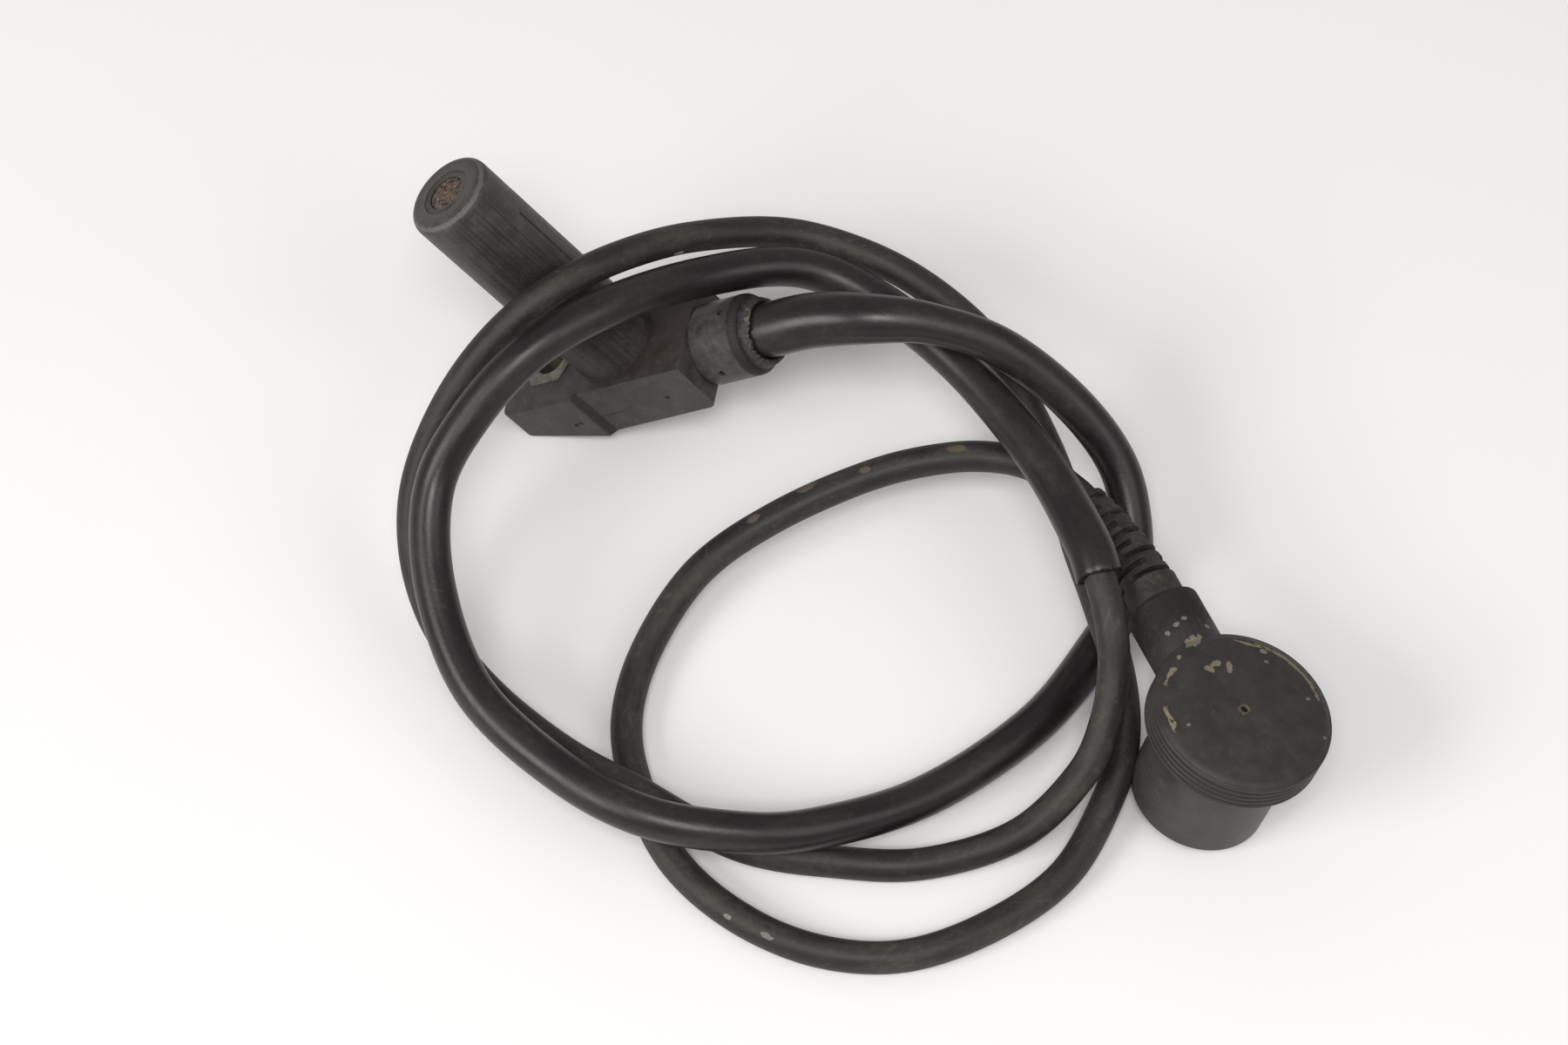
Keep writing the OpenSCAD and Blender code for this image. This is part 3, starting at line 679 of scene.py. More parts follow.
@dataclass(frozen=True)
class WornPolymer:
    """Moulded plastic or rubber: cloudy colour, dust, pebbled grain, scratches and paler worn edges."""

    name: str
    where: PatternFrame
    base: Colour
    cloud: Colour
    dust: Colour
    cloud_size: float = 6.0
    streak: Triple = UNIT
    speck_size: float = 1.7
    ragged_size: float = 1.1
    dust_cover: float = 0.3
    pebble_size: float = 0.8
    pebble_depth: float = 0.03
    grain_size: float = 0.22
    grain_depth: float = 0.012
    gloss: tuple[float, float] = (0.42, 0.58)
    edge: float = 0.3
    edge_round: float = 0.45
    scratch: float = 0.15
    scratch_size: float = 0.7
    radius: float = 0.0
    specular: float = 0.4
    stains: tuple[Stain, ...] = ()

    def material(self) -> bpy.types.Material:
        """Builds the node material."""
        bench = Bench(self.name)
        at = bench.coords(self.where, self.radius)
        cloud = bench.noise(bench.stretched(at, self.streak), 1 / (self.cloud_size * MM), 5, 0.6)
        pebble = bench.noise(at, 1 / (self.pebble_size * MM), 3, 0.55)
        grain = bench.noise(at, 1 / (self.grain_size * MM), 2, 0.6)
        speck = bench.noise(at, 1 / (self.speck_size * MM), 6, 0.72)
        colour = bench.blend(bench.span(cloud, 0.36, 0.66), self.base, self.cloud)
        fine, wide = bench.calc("MULTIPLY", speck, 0.65), bench.calc("MULTIPLY", cloud, 0.35)
        dusty = bench.span(bench.calc("ADD", fine, wide), 0.5, 0.68, 0.0, self.dust_cover)
        colour = bench.blend(dusty, colour, self.dust)
        if self.edge > 0:
            broken = bench.span(speck, 0.4, 0.62, 0.15, self.edge)
            rubbed = bench.calc("MULTIPLY", bench.edge_wear(self.edge_round, 0.04, 0.3), broken)
            colour = bench.blend(rubbed, colour, self.dust)
        hairs = self.hairlines(bench, at)
        colour = bench.blend(bench.calc("MULTIPLY", hairs, self.scratch), colour, self.dust)
        ragged = bench.noise(at, 1 / (self.ragged_size * MM), 5, 0.65)
        worn = bench.span(grain, 0.36, 0.6, 0.62, 1.0)
        lifted: object = 0.0
        for stain in self.stains:
            patch = bench.calc("MULTIPLY", bench.spot(at, stain, ragged), worn)
            colour = bench.blend(patch, colour, stain.colour)
            lifted = bench.calc("MAXIMUM", patch, lifted)
        rough = bench.span(cloud, 0.3, 0.7, *self.gloss)
        rough = bench.calc("ADD", rough, bench.calc("MULTIPLY", dusty, 0.35))
        if self.stains:
            rough = bench.calc("ADD", rough, bench.calc("MULTIPLY", lifted, 0.25), clamp=True)
        fine_height = bench.calc("SUBTRACT", grain, bench.calc("MULTIPLY", hairs, 0.6))
        normal = bench.relief(fine_height, self.grain_depth, bench.relief(pebble, self.pebble_depth))
        return bench.finish(colour, rough, normal, Specular_IOR_Level=self.specular)

    def hairlines(self, bench: Bench, at: Socket) -> Socket:
        """Fine scratches: the crests of two noises stretched along crossing directions."""
        masks = []
        for turn, thin in ((0.5, 24.0), (-0.9, 30.0)):
            drawn = bench.mapped(at, ZERO, (0.3, 0.2, turn), (thin, 1.0, 1.0))
            masks.append(bench.span(bench.noise(drawn, 1 / (self.scratch_size * MM), 2, 0.5), 0.66, 0.72))
        return bench.calc("MAXIMUM", *masks)


@dataclass(frozen=True)
class RustedIron:
    """Corroded iron: crystalline brown and pinkish scale with dark pits."""

    name: str
    where: PatternFrame = PatternFrame.SENSOR
    dark: Colour = (0.028, 0.019, 0.014)
    brown: Colour = (0.125, 0.088, 0.07)
    pale: Colour = (0.42, 0.35, 0.31)
    cell_size: float = 0.9
    lump_size: float = 1.1
    depth: float = 0.25

    def material(self) -> bpy.types.Material:
        """Builds the node material."""
        bench = Bench(self.name)
        at = bench.coords(self.where)
        cells = bench.cells(at, 1 / (self.cell_size * MM))
        lumps = bench.noise(at, 1 / (self.lump_size * MM), 6, 0.7)
        colour = bench.blend(bench.span(lumps, 0.36, 0.56), self.dark, self.brown)
        shine = bench.calc("MULTIPLY", bench.span(cells, 0.5, 0.15), bench.span(lumps, 0.45, 0.65))
        colour = bench.blend(shine, colour, self.pale)
        height = bench.calc("SUBTRACT", lumps, bench.calc("MULTIPLY", cells, 0.5))
        rough = bench.span(lumps, 0.35, 0.65, 0.75, 0.42)
        return bench.finish(colour, rough, bench.relief(height, self.depth), Metallic=0.25)


@dataclass(frozen=True)
class DullMetal:
    """Bare metal with a brushed grain and spots of tarnish."""

    name: str
    where: PatternFrame
    base: Colour
    tarnish: Colour
    grain: Triple = UNIT
    grain_size: float = 0.5
    grain_depth: float = 0.02
    patch_size: float = 2.4
    roughness: tuple[float, float] = (0.38, 0.6)
    metallic: float = 0.85

    def material(self) -> bpy.types.Material:
        """Builds the node material."""
        bench = Bench(self.name)
        at = bench.coords(self.where)
        lines = bench.noise(bench.stretched(at, self.grain), 1 / (self.grain_size * MM), 4, 0.6)
        patch = bench.noise(at, 1 / (self.patch_size * MM), 6, 0.65)
        colour = bench.blend(bench.span(patch, 0.42, 0.64), self.base, self.tarnish)
        colour = bench.blend(bench.calc("MULTIPLY", bench.span(lines, 0.4, 0.7), 0.3), colour, self.tarnish)
        rough = bench.span(patch, 0.3, 0.7, *self.roughness)
        return bench.finish(colour, rough, bench.relief(lines, self.grain_depth), Metallic=self.metallic)


# Sub-assemblies


@dataclass(frozen=True)
class SealWear:
    """How the seal's ring is worn, in mm: its gap, waves, torn side and edges."""

    sides: int = 160
    bore_gap: float = 0.1
    crest_wave: float = 0.2
    crest_notch: float = 0.4
    tear_width: float = 0.6
    tear_rough: float = 0.4
    outer_wave: float = 0.06
    skirt_wave: float = 0.04
    skirt_step: float = 0.02
    shoulder: float = 0.62
    edge_drop: float = 0.08


@dataclass(frozen=True)
class PoleCrust:
    """The pole piece's corroded end in mm: its rings, edges and the height of the crust."""

    rings: int = 26
    sides: int = 72
    centre: float = 0.12
    chamfer: float = 0.3
    chamfer_out: float = 0.12
    chamfer_rise: float = 0.1
    foot_chamfer: float = 0.2
    height: float = 0.3
    sunk: float = 0.05


@dataclass
class Sensor:
    """Moulded sensor: housing with probe and ear, pole piece, bush, gland, torn seal and inner bobbin."""

    sizes: SensorSizes = field(default_factory=SensorSizes)
    wear: SealWear = field(default_factory=SealWear)
    crust: PoleCrust = field(default_factory=PoleCrust)
    pit_size: Triple = (0.75, 0.75, 0.75)
    # Colour of the painted shade in the gland's pits.
    pit_shade: Colour = (0.004, 0.004, 0.004)
    made: dict[str, bpy.types.Object] = field(default_factory=dict)

    def build(self) -> None:
        """Makes the visible pieces."""
        self.made = {
            "housing": rounded_copy("sensor_housing", "housing", 0.25),
            "bush": rounded_copy("mount_bush", "bush", 0.15),
            "gland": rounded_copy("cable_gland", "gland", 0.2),
            "bobbin": rounded_copy("coil_bobbin", "bobbin", 0.1),
            "seal": self.make_seal(),
            "pole": self.make_pole(),
        }

    def make_seal(self) -> bpy.types.Object:
        """Raised torn ring between the sleeve and the gland's mouth.

        A cross-section of nine points, each a radius and a rise from the seat, runs round the gland's axis.
        Its crest is the ring's height less a ripple of the angle. The crest's inner radius is the bore,
        widened towards the tear and roughened by a second ripple.

        Returns:
            The ring.
        """
        s, w = self.sizes, self.wear
        a = np.linspace(0, 2 * math.pi, w.sides, endpoint=False)
        bore, rim = s.sleeve_root_r + w.bore_gap, s.sleeve_root_r + s.seal_gap - s.fit
        mouth, height = s.mouth_depth, s.mouth_depth + s.seal_rise
        floor = height - s.tear_depth
        torn = np.clip(np.cos(a - math.radians(s.tear_turn)), 0, 1) ** 2
        notches = w.crest_notch * torn * (1 + ripple(a, (0.5, 0.19), 6))
        crest = height - w.crest_wave * (1 + ripple(a, (1.9, 0.8), 4)) - notches
        bite = w.tear_width * torn * (1 + w.tear_rough * ripple(a, (0.5, 0.17, 0.09), 9))
        inner = bore + w.bore_gap + bite
        outer = bore + s.seal_crest + w.outer_wave * ripple(a, (0.9, 0.33), 14)
        skirt = rim + s.seal_flange + w.skirt_wave * ripple(a, (1.1, 0.4), 15)
        profile = (
            (bore, s.fit),
            (rim, s.fit),
            (rim, mouth + w.skirt_step),
            (skirt, mouth + s.fit),
            ((skirt + outer) / 2, mouth + w.shoulder * (crest - mouth)),
            (outer, crest),
            (inner, crest - w.edge_drop),
            (inner, floor),
            (bore, floor - s.fit),
        )
        radii = np.stack([radius * np.ones_like(a) for radius, _ in profile])
        rises = np.stack([rise * np.ones_like(a) for _, rise in profile])
        seat = s.block_reach + s.gland_len - mouth
        local = np.stack([seat + rises, radii * np.sin(a), -s.gland_drop - radii * np.cos(a)], axis=-1)
        ring = put_tube("torn_seal", SENSOR_POSE.to_row(local), closed=True)
        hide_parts("gland_seal")
        return ring

    def make_pole(self) -> bpy.types.Object:
        """Pole piece with a corroded end face.

        Rings of the radius run up the side, over the chamfer and inwards on the face, which is lifted by
        ripples of its two coordinates.

        Returns:
            The piece.
        """
        s, c = self.sizes, self.crust
        top, foot = s.probe_len - s.pole_recess, s.probe_len - s.pole_recess - s.pole_len
        side_radii = [s.pole_r - c.foot_chamfer, s.pole_r, s.pole_r, s.pole_r - c.chamfer_out]
        side_rises = [foot, foot + c.foot_chamfer, top - c.chamfer, top - c.chamfer_rise]
        radii = np.concatenate([side_radii, np.linspace(s.pole_r - c.chamfer, c.centre, c.rings)])
        rises = np.concatenate([side_rises, np.full(c.rings, top)])
        a = np.linspace(0, 2 * math.pi, c.sides, endpoint=False)
        x, y = radii[:, None] * np.cos(a), radii[:, None] * np.sin(a)
        scale = ripple(x + 0.6 * y, (1.9, 0.83, 0.41), 12) * ripple(y - 0.4 * x, (1.5, 0.71, 0.37), 13)
        on_face = np.concatenate([np.zeros(len(side_radii)), np.ones(c.rings)])[:, None]
        p = rises[:, None] + on_face * (c.height * scale - c.sunk)
        pole = put_tube("pole", SENSOR_POSE.to_row(np.stack([x, y, p], axis=-1)))
        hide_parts("pole_piece")
        return pole

    def pit(self, turn: float, at: float) -> Stain:
        """Painted shade in a pit of the gland: a near-black spot.

        Args:
            turn: degrees about the gland's axis.
            at: distance from the block in mm.

        Returns:
            The stain in the sensor's pattern frame.
        """
        s, angle = self.sizes, math.radians(turn)
        side, down = s.gland_r * math.sin(angle), s.gland_r * math.cos(angle)
        place = (s.block_reach + at, side, -s.gland_drop - down)
        return Stain(place, self.pit_size, self.pit_shade, 0.95, ragged=0.4)

    def dress(self) -> None:
        """Gives each piece its finish."""
        # The near-black colour darkens the probe and draws a line mark on the block; on the block's step face
        # and in the seal's gap it is painted shade.
        rust, scuff, near_black = (0.045, 0.029, 0.022), (0.2, 0.19, 0.18), (0.005, 0.005, 0.005)
        flake, grey, lip = (0.15, 0.136, 0.1), (0.085, 0.079, 0.074), (0.01, 0.0094, 0.009)
        tip, drop = self.sizes.probe_len, -self.sizes.gland_drop
        end = self.sizes.block_reach + self.sizes.gland_len
        upright, drawn = (0.0, 90.0, 0.0), (1.0, 1.0, 40.0)
        pits = tuple(self.pit(turn, at) for turn, at in self.sizes.gland_pits)
        above = Stain((end + 1.5, -3.0, drop + 6.0), (5.0, 4.5, 3.0), soft=0.5)
        flakes = Stain(
            (end + 1.7, 0.0, drop), (0.5, 0.5, 1.0), flake, 0.75, upright, 2.0, ring=6.2, within=above
        )
        housing = WornPolymer(
            "housing_plastic", PatternFrame.SENSOR,
            base=(0.041, 0.037, 0.0355), cloud=(0.062, 0.056, 0.053), dust=(0.14, 0.127, 0.118),
            cloud_size=4.0, dust_cover=0.2, pebble_depth=0.035, scratch=0.3, specular=0.3,
            stains=(
                Stain((0.0, 0.0, 24.0), (10.2, 10.2, 40.0), near_black, 0.5, ragged=1.0, soft=0.6, lines=drawn),
                Stain((5.0, -7.0, 24.0), (8.5, 8.5, 36.0), near_black, 0.8, ragged=0.5, soft=0.7, lines=drawn),
                Stain((11.0, 0.0, 0.0), (14.0, 13.0, 0.5), rust, 0.5, ragged=0.5, soft=0.5),
                Stain((0.0, -8.5, 5.0), (5.0, 3.0, 7.0), rust, 0.3, ragged=0.6, soft=0.7),
                Stain((0.0, 0.0, tip + 0.4), (9.2, 9.2, 2.2), grey, 0.9, ragged=0.12, soft=0.5),
                Stain((0.0, 0.0, tip - 0.6), (0.5, 0.5, 0.5), scuff, 0.4, ragged=1.2, ring=8.3),
                Stain((-3.1, -11.0, -8.25), (2.8, 0.7, 0.13), near_black, 0.9, ragged=0.3),
                # Painted shade: a near-black band on the step face between the ear and the block.
                Stain((-7.2, -11.6, -7.0), (1.3, 1.6, 20.0), near_black, 0.7, ragged=0.15, soft=0.5),
            ),
        )
        gland = WornPolymer(
            "gland_rubber", PatternFrame.SENSOR,
            base=(0.04, 0.0365, 0.0352), cloud=(0.062, 0.057, 0.0545), dust=(0.1, 0.093, 0.08),
            cloud_size=2.0, dust_cover=0.25, gloss=(0.38, 0.52), specular=0.35,
            pebble_size=0.7, pebble_depth=0.06,
            stains=(
                Stain((end, 0.0, drop), (2.4, 40.0, 40.0), lip, 0.95, ragged=0.15, soft=0.3),
                *pits,
            ),
        )
        seal = WornPolymer(
            "old_seal", PatternFrame.SENSOR,
            base=(0.022, 0.0205, 0.0195), cloud=(0.042, 0.039, 0.036), dust=(0.1, 0.093, 0.08),
            cloud_size=1.0, dust_cover=0.3, gloss=(0.5, 0.7), pebble_size=0.45, pebble_depth=0.08, edge=0.0,
            stains=(
                flakes,
                # Painted shade: a near-black ring on the seal's inner wall, in the gap round the sleeve.
                Stain((end - 1.0, 0.0, drop), (0.45, 0.45, 4.5), near_black, 1.0, upright, 0.25, ring=5.75),
            ),
        )
        bush = DullMetal(
            "bush_steel", PatternFrame.SENSOR,
            base=(0.19, 0.178, 0.15), tarnish=(0.11, 0.1, 0.082), metallic=0.5,
        )
        bobbin = WornPolymer(
            "bobbin_plastic", PatternFrame.SENSOR,
            base=(0.03, 0.028, 0.027), cloud=(0.06, 0.055, 0.05), dust=(0.12, 0.1, 0.085),
        )
        dress(self.made["housing"], housing.material())
        dress(self.made["bush"], bush.material())
        dress(self.made["gland"], gland.material())
        dress(self.made["seal"], seal.material())
        dress(self.made["pole"], RustedIron("pole_iron").material())
        dress(self.made["bobbin"], bobbin.material())


@dataclass
class Cord:
    """The sleeve from the gland and the cable that comes out of it and runs to the plug."""

    sleeve_free: tuple[Triple, ...] = (
        (42, 1, 38), (53, 1, 41.5), (65, 2, 41.5), (79, 2, 37), (94, -1.5, 27), (105, -8.5, 17.5),
        (110, -19.5, 10), (110.5, -30, 6), (107, -41, 4.5), (97, -61, 4.5), (79, -81, 6.5),
        (60, -94, 11.5), (45, -99, 14.5), (27, -99.5, 16.5), (9, -92.5, 16.5), (-9, -80, 18),
        (-20, -62.5, 23.5), (-23.5, -46, 31), (-18.5, -34, 39.5), (-9, -22, 47), (3.5, -9.5, 47.5),
        (18.5, 6, 39.5), (36, 15, 35), (52, 13, 31.5), (71, 1, 30.5), (89, -17, 30.5), (100.5, -34, 31.5),
        (104.5, -41.5, 30.5),
    )
    cable_free: tuple[Triple, ...] = (
        (108, -49.5, 27.5), (110, -56.5, 22), (110, -64.5, 16), (107, -73.5, 10), (97, -85.5, 5),
        (80, -94, 3.3), (62, -97, 4), (48, -98, 6), (36, -96, 9), (25, -92, 10), (10, -86, 9), (-6, -76, 7),
        (-19, -65, 8), (-26, -55, 12.5), (-29, -45, 19), (-28, -36, 27), (-23, -26, 37), (-15.5, -16.5, 45),
        (-6.5, -7.5, 49), (3.5, 3.5, 46.5), (15.5, 15.5, 39.5), (32, 23.5, 34), (48, 23.5, 31), (63, 19, 28),
        (77, 11, 23), (87, 0, 16.5), (94, -11, 13.5), (99, -24, 12.5), (105, -37, 12.5), (111, -50, 10.5),
        (114, -62, 7.5), (113, -74, 5.5), (107, -91, 3.5), (95, -104, 3.3), (80, -113, 3.3), (64, -115, 3.3),
        (48, -111, 3.3), (34, -102, 3.3), (24, -88, 3.3), (19, -74, 3.5), (20, -58, 4.5), (27, -41, 7.5),
        (40, -28, 10.5), (57, -17, 13.5), (71, -12, 16), (82, -11.5, 18.5), (91, -14.5, 21),
    )
    sleeve_r: float = 4.0
    sleeve_end_r: float = 4.6
    cable_r: float = 3.1
    lead_out: float = 2.0
    root_keep: float = 16.0
    root_taper: float = 28.0
    end_taper: float = 50.0
    sleeve_wall: float = 0.8
    sleeve_dent: float = 0.012
    cable_dent: float = 0.01
    rim_round: float = 0.12
    rim_set: float = 0.2
    rim_ragged: float = 0.4
    inside_rows: int = 10
    hidden_rows: int = 4
    sides: int = 36
    step: float = 1.25
    sleeve: Optional[bpy.types.Object] = None
    cable: Optional[bpy.types.Object] = None
    sleeve_line: Optional[np.ndarray] = None
    cable_line: Optional[np.ndarray] = None

    def route(self) -> tuple[np.ndarray, int]:
        """The whole route in mm, and the index of the sleeve's last point on it."""
        seat = SENSOR.block_reach + SENSOR.gland_len - SENSOR.mouth_depth + SENSOR.fit
        mouth = SENSOR.block_reach + SENSOR.gland_len + self.lead_out
        start = SENSOR_POSE.to_row([[seat, 0, -SENSOR.gland_drop], [mouth, 0, -SENSOR.gland_drop]]) / MM
        end = PLUG_POSE.to_row(PLUG.cable_end()) / MM
        return np.vstack([start, self.sleeve_free, self.cable_free, end]), len(self.sleeve_free) + 1

    def sleeve_radius(self, s: np.ndarray) -> np.ndarray:
        """Sleeve radius in mm by arc length: wide at the gland, then slim, then flared at the cut end."""
        root = np.clip((s - self.root_keep) / self.root_taper, 0, 1)
        end = np.clip(1 - (s[-1] - s) / self.end_taper, 0, 1)
        wide = SENSOR.sleeve_root_r
        slim = wide + (self.sleeve_r - wide) * root * root * (3 - 2 * root)
        return slim + (self.sleeve_end_r - self.sleeve_r) * end

    def build(self) -> None:
        """Makes both tubes on one smooth curve, split at the sleeve's end."""
        points, split = self.route()
        line = smooth_route(points, self.step)
        cut = int(np.linalg.norm(line - points[split], axis=1).argmin())
        self.sleeve_line, self.cable_line = line[: cut + 1], line[cut - self.hidden_rows :]
        self.sleeve = self.make_sleeve()
        self.cable = self.make_cable()
        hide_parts("cable_sleeve")
        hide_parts("cable")

    def make_sleeve(self) -> bpy.types.Object:
        """Hose whose wall turns in at the cut end and runs back inside.

        Outside radius is the sleeve's radius with slow dents of about 1 percent. Four rings make the cut rim
        and are moved along the hose by a ripple of the angle. The inside is the outside less the wall.

        Returns:
            The tube.
        """
        line = self.sleeve_line
        s = arc_length(line)
        a = np.linspace(0, 2 * math.pi, self.sides, endpoint=False)
        radius = self.sleeve_radius(s)[:, None]
        dents = ripple(s, (61.0, 37.0, 23.0), 3)[:, None] * np.cos(2 * a + s[:, None] / 40)
        skin = radius * (1 + self.sleeve_dent * dents)
        tangent, _, _ = carried_frames(line)
        end_ring = tube_points(line, skin)[-1] - line[-1]
        end_r = float(radius[-1, 0])
        ragged = self.rim_ragged * ripple(a, (2.1, 0.9, 0.48, 0.3), 8)[:, None] * tangent[-1]
        rim_in = (self.rim_round, self.sleeve_wall - self.rim_round)
        steps = ((1.0, -self.rim_set), *((1.0 - depth / end_r, 0.0) for depth in rim_in))
        rim = np.stack([line[-1] + share * end_ring + back * tangent[-1] + ragged for share, back in steps])
        rows = np.arange(len(line) - 1, len(line) - 1 - self.inside_rows, -1)
        inside = tube_points(line[rows], skin[rows] - self.sleeve_wall)
        inside[0] += ragged - self.rim_set * tangent[-1]
        outside = tube_points(line, skin)[:-1]
        inside_along = s[-1] + np.arange(self.inside_rows) * self.step
        along = np.concatenate([s[:-1], np.full(len(rim), s[-1]), inside_along])
        return put_tube("sleeve_hose", np.concatenate([outside, rim, inside]) * MM, along)

    def make_cable(self) -> bpy.types.Object:
        """Round cable that starts inside the sleeve: its radius with slow dents of 1 percent.

        Returns:
            The tube.
        """
        line = self.cable_line
        s = arc_length(line)
        a = np.linspace(0, 2 * math.pi, self.sides, endpoint=False)
        dents = ripple(s, (47.0, 29.0, 17.0), 5)[:, None] * np.cos(2 * a + s[:, None] / 30)
        skin = self.cable_r * (1 + self.cable_dent * dents)
        return put_tube("cable_run", tube_points(line, skin) * MM, s)

    def mark(
        self, at: float, angle: float, half: tuple[float, float], colour: Colour, strength: float = 0.9
    ) -> Stain:
        """A patch on the cable.

        Args:
            at: arc length from the sleeve's end in mm.
            angle: degrees from the side towards the top.
            half: half length along the cable and half width in mm.
            colour: its colour.
            strength: how much of it covers.

        Returns:
            The stain in the cord's pattern frame.
        """
        turn = math.radians(angle)
        x = at + self.hidden_rows * self.step
        place = (x, self.cable_r * math.cos(turn), self.cable_r * math.sin(turn))
        return Stain(place, (half[0], half[1], half[1]), colour, strength, ragged=0.8)

    def dress(self, on_cord: Sequence[bpy.types.Object]) -> None:
        """Args:
            on_cord: pieces that the cable carries; not used.
        """
        mud, pale, near_black = (0.11, 0.092, 0.064), (0.4, 0.38, 0.34), (0.004, 0.004, 0.004)
        along = (4.0, 1.0, 1.0)
        rubber = WornPolymer(
            "sleeve_rubber", PatternFrame.CORD,
            base=(0.011, 0.01, 0.0098), cloud=(0.02, 0.0182, 0.0177), dust=(0.08, 0.073, 0.066),
            cloud_size=5.0, streak=along, dust_cover=0.18, gloss=(0.28, 0.4), edge=0.0, scratch=0.12,
            radius=self.sleeve_r, specular=0.4,
            stains=(Stain((312.0, 3.2, 2.4), (0.35, 1.3, 1.0), near_black, 0.9, ragged=0.3),),
        )
        jacket = WornPolymer(
            "cable_jacket", PatternFrame.CORD,
            base=(0.019, 0.0173, 0.0162), cloud=(0.036, 0.0325, 0.029), dust=(0.12, 0.104, 0.084),
            cloud_size=4.0, streak=along, dust_cover=0.3, gloss=(0.46, 0.62), edge=0.0, scratch=0.18,
            radius=self.cable_r, specular=0.35,
            stains=(
                self.mark(649.0, 104.0, (1.6, 0.9), mud),
                self.mark(661.0, 116.0, (2.2, 1.0), mud),
                self.mark(673.0, 88.0, (1.2, 0.7), mud),
                self.mark(692.0, 92.0, (2.4, 0.9), mud),
                self.mark(567.0, 24.0, (1.0, 0.7), mud),
                self.mark(293.0, 344.0, (1.3, 1.0), pale),
                self.mark(544.0, 122.0, (1.3, 0.6), pale, 0.4),
                self.mark(552.0, 128.0, (0.9, 0.5), pale, 0.5),
            ),
        )
        dress(self.sleeve, rubber.material())
        dress(self.cable, jacket.material())


